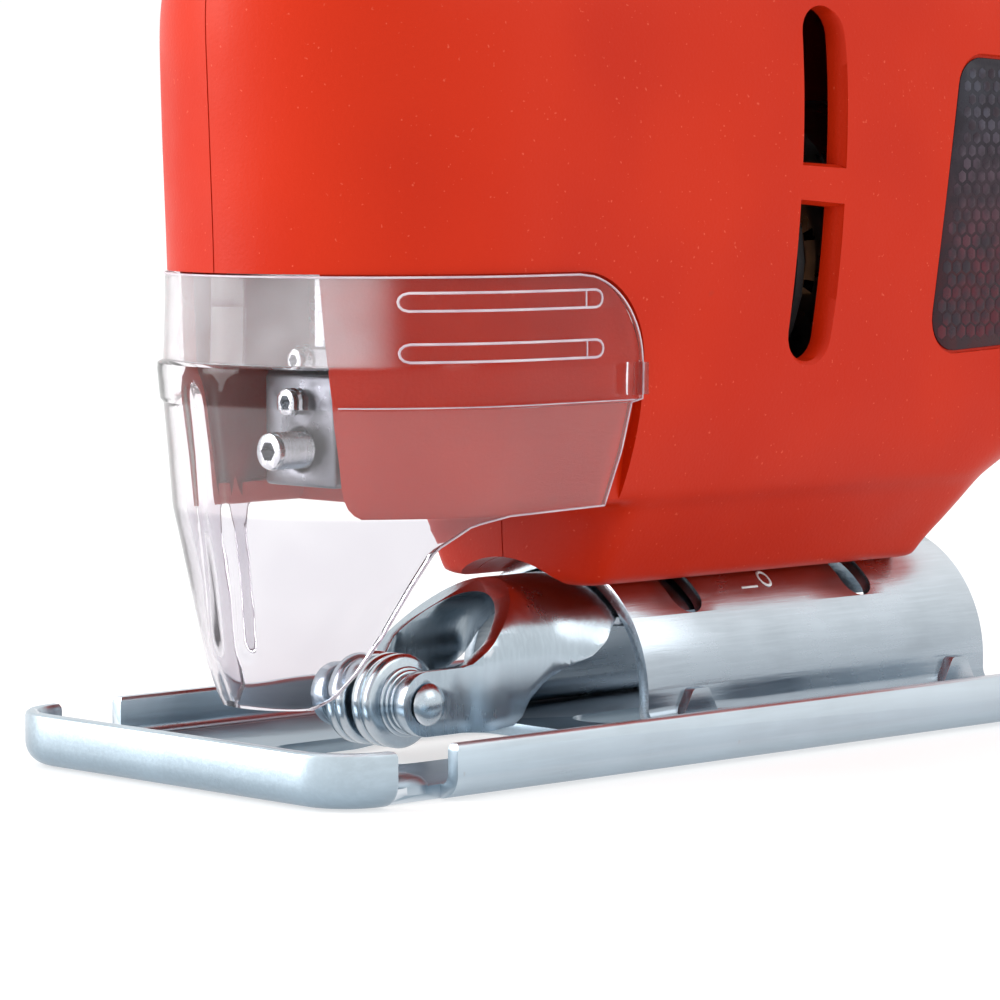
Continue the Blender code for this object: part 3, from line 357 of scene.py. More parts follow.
# --- materials ---------------------------------------------------------
class Look:
    """A material being put together from nodes, read in the piece's own metres."""

    def __init__(self, name, colour, roughness, metallic=0.0, **sockets):
        self.material = bpy.data.materials.new(name)
        self.material.use_nodes = True
        self.tree = self.material.node_tree
        self.shader = self.tree.nodes["Principled BSDF"]
        self.shader.inputs["Base Color"].default_value = (*colour, 1)
        self.shader.inputs["Roughness"].default_value = roughness
        self.shader.inputs["Metallic"].default_value = metallic
        for socket, value in sockets.items():
            self.shader.inputs[socket.replace("_", " ")].default_value = value
        self.place = self.tree.nodes.new("ShaderNodeTexCoord").outputs["Object"]

    def node(self, kind, values, **settings):
        made = self.tree.nodes.new(kind)
        for key, value in settings.items():
            setattr(made, key, value)
        for key, value in values.items():
            if isinstance(value, bpy.types.NodeSocket):
                self.tree.links.new(value, made.inputs[key])
            else:
                made.inputs[key].default_value = value
        return made

    def noise(self, scale, detail=3.0, stretch=None, roughness=0.55):
        place = self.place
        if stretch:
            place = self.node("ShaderNodeMapping", {"Vector": place, "Scale": stretch}).outputs["Vector"]
        values = {"Vector": place, "Scale": scale, "Detail": detail, "Roughness": roughness}
        return self.node("ShaderNodeTexNoise", values).outputs["Fac"]

    def cells(self, scale, feature="F1", output="Distance"):
        values = {"Vector": self.place, "Scale": scale}
        return self.node("ShaderNodeTexVoronoi", values, feature=feature).outputs[output]

    def span(self, value, low, high, to_low=0.0, to_high=1.0):
        values = {"Value": value, "From Min": low, "From Max": high, "To Min": to_low, "To Max": to_high}
        return self.node("ShaderNodeMapRange", values, interpolation_type="SMOOTHSTEP").outputs["Result"]

    def mix(self, factor, first, second, blend="MIX"):
        made = self.node("ShaderNodeMix", {}, data_type="RGBA", blend_type=blend)
        for socket, value in ((made.inputs[0], factor), (made.inputs[6], first), (made.inputs[7], second)):
            if isinstance(value, bpy.types.NodeSocket):
                self.tree.links.new(value, socket)
            else:
                socket.default_value = value if isinstance(value, float) else (*value, 1)
        return made.outputs[2]

    def cloud(self, scale, detail, low=0.0, high=1.0):
        """Soft noise with clear light and dark parts, between two values."""
        return self.span(self.noise(scale, detail), 0.3, 0.7, low, high)

    def math(self, operation, first, second):
        return self.node("ShaderNodeMath", {0: first, 1: second}, operation=operation).outputs[0]

    def times(self, first, second):
        return self.math("MULTIPLY", first, second)

    def set(self, socket, value):
        self.tree.links.new(value, self.shader.inputs[socket])
        return self

    def gloss(self, scale, detail, low, high):
        """Makes the roughness wander between two values."""
        return self.set("Roughness", self.cloud(scale, detail, low, high))

    def bump(self, height, depth, strength=1.0, under=None):
        values = {"Height": height, "Distance": depth, "Strength": strength}
        if under:
            values["Normal"] = under
        normal = self.node("ShaderNodeBump", values).outputs["Normal"]
        self.set("Normal", normal)
        return normal

    def along(self, axis):
        """The point's place along an axis, in metres."""
        return self.node("ShaderNodeSeparateXYZ", {"Vector": self.place}).outputs[axis]

    def edges(self, low=0.52, high=0.6):
        """1 on raised edges, from the mesh's own curvature."""
        return self.span(self.node("ShaderNodeNewGeometry", {}).outputs["Pointiness"], low, high)


def orange_plastic():
    look = Look("orange_plastic_look", (0.53, 0.019, 0.001), 0.46, Specular_IOR_Level=0.16)
    broad = look.span(look.noise(22, 2.0), 0.35, 0.65)
    colour = look.mix(broad, (0.50, 0.017, 0.001), (0.55, 0.022, 0.0015))
    specks = look.span(look.noise(1500, 1.0), 0.72, 0.80)
    colour = look.mix(look.times(specks, 0.3), colour, (0.9, 0.2, 0.12))
    dust = look.span(look.noise(150, 1.0), 0.20, 0.16)
    colour = look.mix(look.times(dust, 0.4), colour, (0.35, 0.03, 0.015))
    look.set("Base Color", colour)
    look.gloss(60, 3.0, 0.38, 0.5)
    look.bump(look.noise(1900, 2.0), 0.00006, 0.55)
    return look.material


def clear_plastic():
    """Clear moulded plastic with a hazy lower half, a greyer foot and a frosted band high on the nose; above
    the foot its tint is paler, painted light that brightens the orange seen through it.
    """
    look = Look("clear_plastic_look", (0.95, 0.93, 0.96), 0.03, Transmission_Weight=1.0, IOR=1.26)
    lower = look.span(look.along("Z"), 0.0536, 0.0528, 0.0, 0.05)
    high, ahead = look.span(look.along("Z"), 0.0586, 0.0592), look.span(look.along("X"), -0.086, -0.093)
    nose = look.times(high, ahead)
    mottled = look.times(nose, look.cloud(60, 2.0, 0.13, 0.27))
    # painted light: above the foot the tint is paler, brightening the orange behind the guard; at the foot it
    # is greyer
    clear = look.mix(look.cloud(45, 2.0), (0.94, 0.91, 0.94), (0.98, 0.96, 0.98))
    foot = look.mix(look.cloud(45, 2.0), (0.72, 0.70, 0.745), (0.80, 0.785, 0.82))
    look.set("Base Color", look.mix(look.span(look.along("Z"), 0.0372, 0.0382), foot, clear))
    look.set("Transmission Weight", look.math("SUBTRACT", 1.0, look.math("ADD", lower, mottled)))
    look.gloss(90, 4.0, 0.01, 0.05)
    look.bump(look.noise(70, 2.0), 0.00003, 0.3)
    return look.material


def clear_rim_highlight():
    """Painted highlight: the milky edges that clear plastic shows where it catches the light."""
    look = Look("clear_rim_highlight_look", (0.90, 0.80, 0.87), 0.15, Transmission_Weight=0.45, IOR=1.3)
    # painted highlight: milky colour for edges that catch the light
    milky_highlight = look.cloud(180, 3.0)
    look.set("Base Color", look.mix(milky_highlight, (0.80, 0.66, 0.75), (0.96, 0.90, 0.95)))
    look.gloss(250, 3.0, 0.1, 0.25)
    look.bump(look.noise(500, 2.0), 0.00003, 0.3)
    return look.material


def zinc(name, colour, low, high, along=(0.06, 1.0, 1.0), grain=0.5, *, shade):
    """Plated steel, rolled or brushed along one direction, with clouding, fine scratches and worn edges.

    Shade gives two heights in metres and how dark the painted shade makes the tone at the lower one: painted
    shade, darker towards the foot.
    """
    look = Look(name, colour, (low + high) / 2, 1.0)
    lines = look.noise(1500, 3.0, along)
    cloud = look.noise(70, 4.0)
    dark = tuple(0.88 * c for c in colour)
    tone = look.mix(look.span(cloud, 0.3, 0.7), dark, colour)
    bright = tuple(min(1, 1.15 * c) for c in colour)
    tone = look.mix(look.times(look.span(lines, 0.35, 0.75), 0.35), tone, bright)
    # painted shade: the tone is darkened from the head down to the foot
    foot, head, depth = shade
    painted_shade_grey = (depth * 0.94, depth, depth * 1.06)
    painted_shade_ramp = look.mix(look.span(look.along("Z"), foot, head), painted_shade_grey, (1.0, 1.0, 1.0))
    tone = look.mix(1.0, tone, painted_shade_ramp, "MULTIPLY")
    spots = look.span(look.noise(420, 2.0), 0.74, 0.80)
    tone = look.mix(look.times(spots, 0.5), tone, (0.33, 0.34, 0.36))
    tone = look.mix(look.times(look.edges(), 0.5), tone, (0.95, 0.97, 1.0))
    look.set("Base Color", tone)
    rough = look.math("ADD", look.span(cloud, 0.25, 0.75, low, high), look.times(lines, 0.08))
    look.set("Roughness", rough)
    first = look.bump(lines, 0.00004, grain)
    look.bump(look.noise(160, 3.0), 0.00003, 0.25, first)
    return look.material


def metal(name, colour, low, high, scale=400, depth=0.00005):
    """Machined or cast metal with a fine skin and stains."""
    look = Look(name, colour, (low + high) / 2, 1.0)
    stain = look.cloud(120, 4.0)
    tone = look.mix(stain, tuple(0.6 * c for c in colour), colour)
    bright = tuple(min(1, 1.5 * c) for c in colour)
    look.set("Base Color", look.mix(look.times(look.edges(), 0.6), tone, bright))
    look.gloss(scale, 3.0, low, high)
    look.bump(look.noise(scale * 2.5, 3.0), depth, 0.6)
    return look.material


def moulded(name, colour, low, high, scale=900, depth=0.00008):
    """Moulded plastic or rubber with a stippled skin."""
    look = Look(name, colour, (low + high) / 2)
    tone = look.cloud(60, 3.0)
    tone = look.mix(tone, colour, tuple(1.7 * c + 0.004 for c in colour))
    rubbed = tuple(3 * c + 0.01 for c in colour)
    look.set("Base Color", look.mix(look.times(look.edges(), 0.5), tone, rubbed))
    look.gloss(80, 3.0, low, high)
    look.bump(look.cells(scale), depth, 0.7)
    return look.material


def label(name, gloss, foot, head, stain, grain, amount, roughness, skin):
    """A dark printed film, redder at its foot: foot, head and stain are colours, skin the bump's grain."""
    look = Look(name, head, sum(roughness) / 2, Specular_IOR_Level=gloss)
    base = look.mix(look.span(look.along("Z"), 0.062, 0.1), foot, head)
    worn = look.times(look.span(look.noise(grain[0], grain[1]), *grain[2:]), amount)
    look.set("Base Color", look.mix(worn, base, stain))
    look.gloss(300, 3.0, *roughness)
    look.bump(look.noise(*skin[:2]), skin[2], 0.4)
    return look.material


def floor_look():
    look = Look("floor_look", (0.45, 0.45, 0.45), 0.6, Emission_Color=(1, 1, 1, 1), Emission_Strength=0.58)
    broad = look.cloud(3, 2.0)
    look.set("Base Color", look.mix(broad, (0.44, 0.44, 0.44), (0.46, 0.46, 0.46)))
    look.bump(look.noise(300, 2.0), 0.00003, 0.2)
    return look.material


LOOKS = {
    "orange": orange_plastic(),
    "clear": clear_plastic(),
    # painted highlight: the milky beads on the chip guard's edges
    "rim": clear_rim_highlight(),
    # each zinc's shade is painted shade, darker towards the piece's foot
    "zinc": zinc("zinc_look", (0.53, 0.63, 0.70), 0.24, 0.36, shade=(0.0005, 0.0085, 0.62)),
    "zinc_saddle": zinc("zinc_saddle_look", (0.72, 0.79, 0.85), 0.14, 0.26, shade=(0.006, 0.026, 0.50)),
    "zinc_bracket": zinc("zinc_bracket_look", (0.54, 0.62, 0.68), 0.12, 0.26, (1.0, 1.0, 0.08),
                         shade=(0.004, 0.024, 0.7)),
    "zinc_turned": zinc("zinc_turned_look", (0.60, 0.68, 0.74), 0.12, 0.24, (1.0, 0.08, 1.0), 0.3,
                        shade=(0.002, 0.015, 0.6)),
    "steel": metal("dark_steel_look", (0.20, 0.21, 0.23), 0.25, 0.45),
    "bright_steel": metal("bright_steel_look", (0.62, 0.65, 0.68), 0.15, 0.3),
    "cast": metal("cast_aluminium_look", (0.55, 0.56, 0.58), 0.4, 0.6, 250, 0.00015),
    "copper": metal("copper_look", (0.70, 0.32, 0.15), 0.25, 0.45),
    "bronze": metal("bronze_look", (0.58, 0.38, 0.18), 0.3, 0.5),
    "carbon": moulded("carbon_look", (0.02, 0.02, 0.022), 0.5, 0.7),
    "rubber": moulded("rubber_look", (0.014, 0.014, 0.016), 0.6, 0.8, 700, 0.00015),
    "black": moulded("black_plastic_look", (0.02, 0.02, 0.021), 0.32, 0.5),
    "label": label("label_look", 0.2, (0.045, 0.008, 0.012), (0.03, 0.03, 0.04), (0.018, 0.014, 0.02),
                   (210, 4.0, 0.42, 0.62), 0.7, (0.18, 0.38), (900, 3.0, 0.00004)),
    "label_cells": label("label_cells_look", 0.15, (0.09, 0.014, 0.022), (0.06, 0.06, 0.08),
                         (0.03, 0.02, 0.028), (260, 3.0, 0.35, 0.65), 1.0, (0.22, 0.42),
                         (1200, 2.0, 0.00003)),
}


# --- the housing -------------------------------------------------------
def plan(front, nose, rear, corner, half, height, nose_steps=22, corner_steps=12):
    """The body's outline at one height: an elliptical nose, straight sides and rounded rear corners."""
    near = []
    for i in range(nose_steps + 1):
        a = math.pi / 2 * i / nose_steps
        near.append((front + nose * (1 - math.cos(a)), -half * math.sin(a)))
    for i in range(corner_steps + 1):
        a = math.pi / 2 * i / corner_steps
        near.append((rear - corner * (1 - math.sin(a)), -half + corner * (1 - math.cos(a))))
    far = [(x, -y) for x, y in reversed(near[1:])]
    return [(x, y, height) for x, y in near + far]


def body_solid(levels, inset=0.0, floor=0.0, steps=4):
    rings = []
    last = (len(levels) - 1) * steps
    for k in range(last + 1):
        z, front, nose, rear, corner, half = spline(levels, k / steps)
        height = z + (floor if k == 0 else inset * -0.9 if k == last else 0)
        rings.append(plan(front + inset, nose, rear - inset, max(corner - inset, 0.6), half - inset, height))
    return loft(rings)


def handle_ring(at, inset, sides=44):
    """The handle's section at a place: a rounded oval across the centreline."""
    x, z, thick, half = spline(HANDLE, at)
    ahead, behind = spline(HANDLE, min(at + 0.05, len(HANDLE) - 1)), spline(HANDLE, max(at - 0.05, 0))
    across = Vector((-(ahead[1] - behind[1]), ahead[0] - behind[0])).normalized()
    ring = []
    for k in range(sides):
        a = 2 * math.pi * k / sides
        u = math.copysign(abs(math.cos(a)) ** 0.8, math.cos(a)) * (thick - inset)
        v = math.copysign(abs(math.sin(a)) ** 0.8, math.sin(a)) * (half - inset)
        ring.append((x + across[0] * u, v, z + across[1] * u))
    return ring


def handle_places(low, high, density=8):
    count = max(2, round((high - low) * density))
    return [low + (high - low) * i / count for i in range(count + 1)]


def handle_solid(inset, grip_inset):
    low, high = GRIP_SPAN
    rings = [handle_ring(p, inset) for p in handle_places(0, low)]
    rings += [handle_ring(p, inset + grip_inset) for p in handle_places(low + 0.004, high - 0.004)]
    rings += [handle_ring(p, inset) for p in handle_places(high, len(HANDLE) - 1)]
    return loft(rings)


def bowed_slot(low, high, grow_front, grow_back, round_low, round_high):
    """One vent's outline in the side view: bowed to the back, each end square or round."""
    (centre, radius), half = VENT_ARC, VENT_HALF
    outer, inner = radius + half + grow_back, radius - half - grow_front
    angles = [math.degrees(math.asin((z - centre[1]) / radius)) for z in (low, high)]
    pull = math.degrees((half + 0.2) / radius)
    starts = angles[0] + (pull if round_low else 0), angles[1] - (pull if round_high else 0)
    back = arc(centre, outer, starts[0], starts[1], 20)
    front = arc(centre, inner, starts[1], starts[0], 20)
    ends = []
    for at, turn, is_round in ((starts[1], 1, round_high), (starts[0], -1, round_low)):
        if not is_round:
            ends.append([])
            continue
        a = math.radians(at)
        middle = (outer + inner) / 2
        tip = (centre[0] + middle * math.cos(a), centre[1] + middle * math.sin(a))
        reach = (outer - inner) / 2
        from_angle = at if turn > 0 else at + 180
        ends.append(arc(tip, reach, from_angle, from_angle + 180, 12)[1:-1])
    return back + ends[0] + front + ends[1]


def vent_cutters():
    """The two slots on each side, with the wide bevel on their rear edge."""
    made = []
    for low, high, round_low, round_high in ((57.5, 80.8, True, False), (87.0, 110.5, False, True)):
        narrow = bowed_slot(low, high, 0, 0, round_low, round_high)
        lip = bowed_slot(low, high, 0.1, 0.35, round_low, round_high)
        wide = bowed_slot(low - 0.5, high + 0.5, 0.5, 1.0, round_low, round_high)
        for side in (-1, 1):
            made.append(flat(narrow, "Y", *between(side, 20, 45)))
            levels = ((side * 26.9, narrow), (side * 29.3, lip), (side * 30.2, wide), (side * 34, wide))
            made.append(loft([[(u, y, v) for u, v in outline] for y, outline in levels]))
    return made


def opening_cutter():
    """The front opening round the blade clamp, its cheeks' lower corners rounded."""
    levels = ((20.0, 17.6), (37.5, 17.2), (38.0, 16.6), (38.9, 16.1), (40.2, 15.8), (42.0, 15.7),
              (54.0, 15.9), (OPENING_TOP, 15.0))
    return loft([[(-5, -half, z), (41, -half, z), (41, half, z), (-5, half, z)] for z, half in levels])


def cheek_recess():
    """What comes off the outside of the cheeks, so that the chip guard lies nearly flush."""
    levels = [row for row in BODY_LEVELS if row[0] < 100]
    back = CHEEK_BACK + 1.2
    outline = rounded_outline(((-10, 20), (back, 20), (back, OPENING_TOP), (-10, OPENING_TOP)),
                              (0, 0, GUARD_CORNER + 0.6, 0), 14)
    lowered = [(z - (12 if z < 40 else 0), *rest) for z, *rest in levels]
    return cut(flat(outline, "Y", -60, 60), body_solid(lowered, CHEEK_RECESS))


def label_outline(grow):
    (x, z), grown = LABEL_CENTRE, []
    for u, v in LABEL_CORNERS:
        grown.append((u + grow * math.copysign(1, u - x), v + grow * math.copysign(1, v - z)))
    return rounded_outline(grown, [LABEL_ROUND + grow] * 4)


def label_recesses():
    made = []
    for side in (-1, 1):
        levels = ((side * LABEL_FLOOR, 0.45), (side * 30.0, 0.55), (side * 30.9, 1.3), (side * 45, 1.3))
        made.append(loft([[(u, y, v) for u, v in label_outline(grow)] for y, grow in levels]))
    return made


def shells():
    """The two moulded halves: swept together, their joins softened, then cut as the CAD's are."""
    outer = join(body_solid(BODY_LEVELS), handle_solid(0, GRIP_SKIN + 1.5 * GAP), body_solid(LOWER_LEVELS),
                 boolean(body_solid(CHEEK_LEVELS), block((-20, -60, 0), (61, 60, 60)), "INTERSECT"))
    even = outer.modifiers.new("even", "REMESH")
    even.mode = "VOXEL"
    even.voxel_size = 1.0 * MM
    soft = outer.modifiers.new("soft", "SMOOTH")
    soft.factor = 0.5
    soft.iterations = 14
    bake(outer)
    inner = join(body_solid(BODY_LEVELS, WALL, WALL), handle_solid(WALL, GRIP_SKIN),
                 body_solid(LOWER_LEVELS, WALL, 8.0))
    cut(outer, block((-20, -60, 20), (CHEEK_END, 60, BODY_LEVELS[0][0])))
    cut(outer, cheek_recess(), inner, opening_cutter())
    cut(outer, rod("X", (0, SADDLE_Z), 50, 170, SADDLE_R + GAP, 96))
    cut(outer, *vent_cutters(), *label_recesses())
    for x in BASE_SCREW_X:
        cut(outer, rod("Z", (x, 0), 20, 36, 3.0, 24))
    cut(outer, block((78.6, -7.2, 156), (107.5, 7.2, 172)), block((45, -4.3, 172), (67, 4.3, 200)))
    cut(outer, rod("X", (0, INLET_Z), 195, 230, 7.3, 40))
    for side, name in ((-1, "left"), (1, "right")):
        half = outer.copy()
        half.data = outer.data.copy()
        SCENE.collection.objects.link(half)
        half.name = f"half_{name}"
        low, high = between(side, SEAM, 60)
        boolean(half, block((-20, low, -10), (260, high, 230)), "INTERSECT")
        for x, z, reach in SCREWS:
            join(half, rod("Y", (x, z), *between(side, reach, SEAM), 4.6 if side > 0 else 4.0, 24))
            if side > 0:
                cut(half, rod("Y", (x, z), -2, 40, 1.95, 24), rod("Y", (x, z), 8.0, 40, 3.4, 32))
        if side < 0:
            cut(half, rod("Y", LOCK_PLACE, -30, -5, 5.4, 40))
        piece(half, f"shell_{name}", "housing", "orange_plastic", "orange", f"housing_{name}", smooth=40)
    bpy.data.objects.remove(outer)


# --- the chip guard ----------------------------------------------------
def guard_end(z):
    """How far back the guard reaches at a height: its top rear corner is round, with a small tab under it."""
    if z < 59.0:
        return table(GUARD_ENDS, z)[0]
    rise = min(z - 59.0, GUARD_CORNER)
    return 64.0 - GUARD_CORNER + math.sqrt(max(0.0, GUARD_CORNER ** 2 - rise ** 2))


def guard_line(z, inset, steps=40):
    """One level of the guard's U, from its left rear end round the nose to its right rear end."""
    front, nose, half = table(GUARD_LEVELS, z)
    front, half = front + inset, half - inset
    end = guard_end(z)
    full = front + nose
    sweep = math.pi / 2 if end >= full else math.acos(max(-1.0, min(1.0, (full - end) / nose)))
    left = []
    for i in range(steps + 1):
        a = sweep * i / steps
        x, y = front + nose * (1 - math.cos(a)), half * math.sin(a)
        if inset == 0:
            fade = min(1.0, max(0.0, (57.0 - z) / 3)) * min(1.0, max(0.0, (z - 17) / 2.5))
            x -= RIB_HEIGHT * (fade * max(0.0, 1 - ((y - RIB_PLACE) / RIB_HALF) ** 2)) ** 0.7
        left.append((x, -y, z))
    back = max(end, full + 0.2)
    for t in (0.34, 0.67, 1.0):
        left.append((full + (back - full) * t, -half, z) if end >= full else
                    (left[steps][0] + 0.02 * t, left[steps][1] - 0.02 * t, z))
    return [(x, y, z) for x, y, z in reversed(left)] + [(x, -y, z) for x, y, z in left[1:]]


def on_guard(x, z, side, proud=0.0):
    """The point of the guard's outside at a place along it and a height, moved outwards by proud."""
    front, nose, wide = table(GUARD_LEVELS, z)
    a = math.acos(max(0.0, 1 - (x - front) / nose))
    out = Vector((-math.cos(a) / nose, math.sin(a) / wide)).normalized() * proud
    return x + out.x, side * (wide * math.sin(a) + out.y), z


def bar_edge(start, end, half=1.25, steps=24):
    """Half of a round-ended bar's outline: places along it, each with the outline's reach up and down."""
    edge = []
    for i in range(steps + 1):
        x = (start + end) / 2 - (end - start) / 2 * math.cos(math.pi * i / steps)
        away = min(x - start, end - x) / half
        edge.append((x, max(0.05, half * math.sqrt(max(0.0, 1 - max(0.0, 1 - away) ** 2)))))
    return edge


def grip_bar(side, z, start, end, proud=0.55):
    """A raised bar with round ends that follows the guard's side at one height."""
    rings = []
    for x, reach in bar_edge(start, end):
        section = ((-1, -0.7), (-1, proud * 0.5), (-0.75, proud), (0.75, proud), (1, proud * 0.5), (1, -0.7))
        ring = []
        for v, w in section:
            u, y, _ = on_guard(x, z, side, w)
            ring.append((u, y, z + v * reach))
        rings.append(ring)
    return loft(rings)


def bead(path, across, radius=0.17, closed=False, sides=8):
    """A thin round bead along a path; across is a direction that the path never runs in."""
    rings, count = [], len(path)
    for i, point in enumerate(path):
        ahead = Vector(path[(i + 1) % count] if closed or i + 1 < count else point)
        behind = Vector(path[i - 1] if closed or i else point)
        u = (ahead - behind).cross(Vector(across)).normalized()
        v = (ahead - behind).cross(u).normalized()
        turns = [2 * math.pi * k / sides for k in range(sides)]
        rings.append([Vector(point) + radius * (math.cos(t) * u + math.sin(t) * v) for t in turns])
    return loft(rings, ends=not closed)


def together(objects):
    """One object holding all the meshes, which are used up."""
    bm = bmesh.new()
    for obj in objects:
        bm.from_mesh(obj.data)
        bpy.data.objects.remove(obj)
    mesh = bpy.data.meshes.new("together")
    bm.to_mesh(mesh)
    bm.free()
    made = bpy.data.objects.new("together", mesh)
    SCENE.collection.objects.link(made)
    return made


def guard_rim_highlights(levels):
    """Painted highlights: milky beads on the guard's edges, round its grip bars and along the step on its
    sides, where the clear plastic catches the light.
    """
    beads = [bead(guard_line(levels[-1], 0), (0, 0, 1))]
    for side in (-1, 1):
        end = 0 if side < 0 else -1
        beads.append(bead([guard_line(z, 0.1)[end] for z in levels], (0, 1, 0)))
        line = [on_guard(16 + 1.5 * i, GUARD_STEP, side) for i in range(32)]
        beads.append(bead(line, (0, 0, 1), 0.12))
        for z in GRIP_BARS:
            edge = bar_edge(*GRIP_BAR_SPAN)
            loop = [on_guard(x, z, side, 0.5)[:2] + (z + reach,) for x, reach in edge]
            loop += [on_guard(x, z, side, 0.5)[:2] + (z - reach,) for x, reach in reversed(edge[1:-1])]
            beads.append(bead(loop, (0, 1, 0), 0.2, closed=True))
            x, y, _ = on_guard(GRIP_BAR_SPAN[1] - 3.2, z, side, 0.5)
            beads.append(bead([(x, y, z - 1.2), (x, y, z), (x, y, z + 1.2)], (0, 1, 0), 0.15))
    piece(together(beads), "guard_rim_highlights", "guard", "clear_plastic", "rim", smooth=60)


def chip_guard():
    levels = [10 + 0.9 * i for i in range(30)] + [36.5, 37.0, 37.4, 37.7, 37.9, 38.6]
    levels += [39.5 + i for i in range(14)] + [52.9, 53.1, 53.4, 54.4, 55.5, 56.5, 57.6]
    levels += [58.2, 58.6, 59.0, 59.6, 60.6, 61.8, 63, 64.2, 65.4, 66.4, 67.2, 68.0, 68.7]
    levels += [69.3, 69.8, 70.3, 70.8, 71.1, 71.4]
    guard = loft([guard_line(z, 0) + guard_line(z, GUARD_WALL)[::-1] for z in levels])
    for side in (-1, 1):
        for z in GRIP_BARS:
            join(guard, grip_bar(side, z, *GRIP_BAR_SPAN))
        low, high = between(side, 29.6, 31.6)
        join(guard, block((62, low, 54.0), (64.9, high, 58.6)))
    rounded(guard, 0.12, 2, 50)
    piece(guard, "clear_guard", "guard", "clear_plastic", "clear", "chip_guard", smooth=40)
    guard_rim_highlights(levels)


# --- the base ----------------------------------------------------------
def sole_outline(inset, rear, steps=14):
    radius = SOLE_CORNER - inset
    left = [(SOLE_CORNER - radius * math.cos(a), SOLE_CORNER - SOLE_HALF - radius * math.sin(a))
            for a in [math.pi / 2 * i / steps for i in range(steps + 1)]]
    left.append((rear, inset - SOLE_HALF))
    return left + [(x, -y) for x, y in reversed(left)]


def dish(radius, inset, floor, top, rear, steps=10):
    bend = [math.pi / 2 * i / steps for i in range(steps + 1)]
    levels = [(floor + radius * (1 - math.cos(a)), inset + radius * (1 - math.sin(a))) for a in bend] + top
    return loft([[(x, y, z) for x, y in sole_outline(u, rear)] for z, u in levels])


def sole():
    """The pressed sole: turned-up edges, notches behind the front corners, openings and press marks."""
    plate = dish(SOLE_BEND, 0, 0, [(FLANGE - 0.7, 0), (FLANGE - 0.25, 0.15), (FLANGE, 0.5)], SOLE_LENGTH)
    rim = [(FLANGE - 0.5, SHEET), (FLANGE + 2, SHEET - 1.2)]
    cut(plate, dish(SOLE_BEND - SHEET, SHEET, SHEET, rim, SOLE_LENGTH + 10))
    start, end = NOTCH
    gap = ((start, -2), (end, -2), (end, 7.2), (end + 1.8, 10), (start - 1.6, 10), (start, 7.2))
    gap = rounded_outline(gap, (0, 0, 1.4, 0, 0, 1.4), 5)
    for side in (-1, 1):
        cut(plate, flat(gap, "Y", *between(side, SOLE_HALF - 3.6, 50)))
        dome = turned("Z", ((start + end) / 2 + 1, side * (SOLE_HALF - 7.5)),
                      ((0, 1.0), (4.4, 1.0), (4.3, 2.2), (3.4, 3.0), (1.8, 3.5), (0, 3.6)), 32)
        join(plate, dome)
    blade = rounded_outline(((27.5, -16), (47, -16), (56, -14.5), (74, -14.5), (74, 14.5), (56, 14.5),
                             (47, 11.5), (27.5, 11.5)), (6, 6, 5, 5, 5, 5, 5, 6), 6)
    low, high = BASE_SCREW_X[0] - 7, BASE_SCREW_X[1] + 7
    reach = rounded_outline(((low, -6), (high, -6), (high, 6), (low, 6)), (5.9,) * 4, 8)
    cut(plate, flat(blade, "Z", -1, 4.2), flat(reach, "Z", -1, 4.2))
    rounded(plate, 0.25, 2, 40)
    piece(plate, "pressed_sole", "base", "zinc_steel", "zinc", "sole_plate", smooth=30)


def saddle_section(steps=36):
    """Half of the saddle's mid-sheet line, from its foot's edge to the crown: (y, z) with y below 0."""
    mid = SADDLE_R - SHEET / 2
    foot, bend = SHEET + GAP + SHEET / 2, 3.0
    line = [(-mid - bend - 6, foot), (-mid - bend - 3, foot)]
    line += [(-mid - bend + bend * math.sin(a), foot + bend - bend * math.cos(a))
             for a in [math.pi / 2 * i / 8 for i in range(9)]]
    line += [(-mid * math.cos(a), SADDLE_Z + mid * math.sin(a)) for a in
             [math.pi / 2 * i / steps for i in range(steps + 1)]]
    return line


def tube_slot(x, mid, half_width=3.1, deep=3.4, steps=40):
    """A cutter for one tilt slot, round the saddle's tube."""
    corners = [(math.copysign(half_width, math.cos(b)), mid + deep * math.sin(b)) for b in
               [math.pi / 4 + math.pi / 2 * k for k in range(4)]]
    rings = []
    for i in range(steps + 1):
        a = SLOT_HALF_ANGLE * (2 * i / steps - 1)
        rings.append([(x + u, r * math.sin(a), SADDLE_Z + r * math.cos(a)) for u, r in corners])
    slot = loft(rings)
    for side in (-1, 1):
        hole = rod("Z", (x, 0), SADDLE_Z + mid - 5, SADDLE_Z + mid + 5, half_width)
        join(slot, moved(hole, tilted(-side * SLOT_HALF_ANGLE)))
    return slot


def saddle():
    half = saddle_section()
    line = half + [(-y, z) for y, z in reversed(half[:-1])]
    low, high = SADDLE_X
    bracket = sheet([[(low + (high - low) * t, y, z) for y, z in line] for t in (0, 0.25, 0.5, 0.75, 1)])
    mid = SADDLE_R - SHEET / 2
    for x in BASE_SCREW_X:
        cut(bracket, tube_slot(x, mid))
    for x in (86.5, 146.0):
        for side in (-1, 1):
            tab = ((x - 4, 4.6), (x + 4, 4.6), (x + 1.6, 8.8), (x - 1.6, 8.8))
            tab = rounded_outline(tab, (0, 0, 1.0, 1.0), 4)
            join(bracket, flat(tab, "Y", *between(side, 19.4, 21.8)))
    rounded(bracket, 0.3, 2, 50)
    piece(bracket, "saddle_tube", "base", "zinc_steel", "zinc_saddle", "saddle_bracket", smooth=30)
    angle_marks()


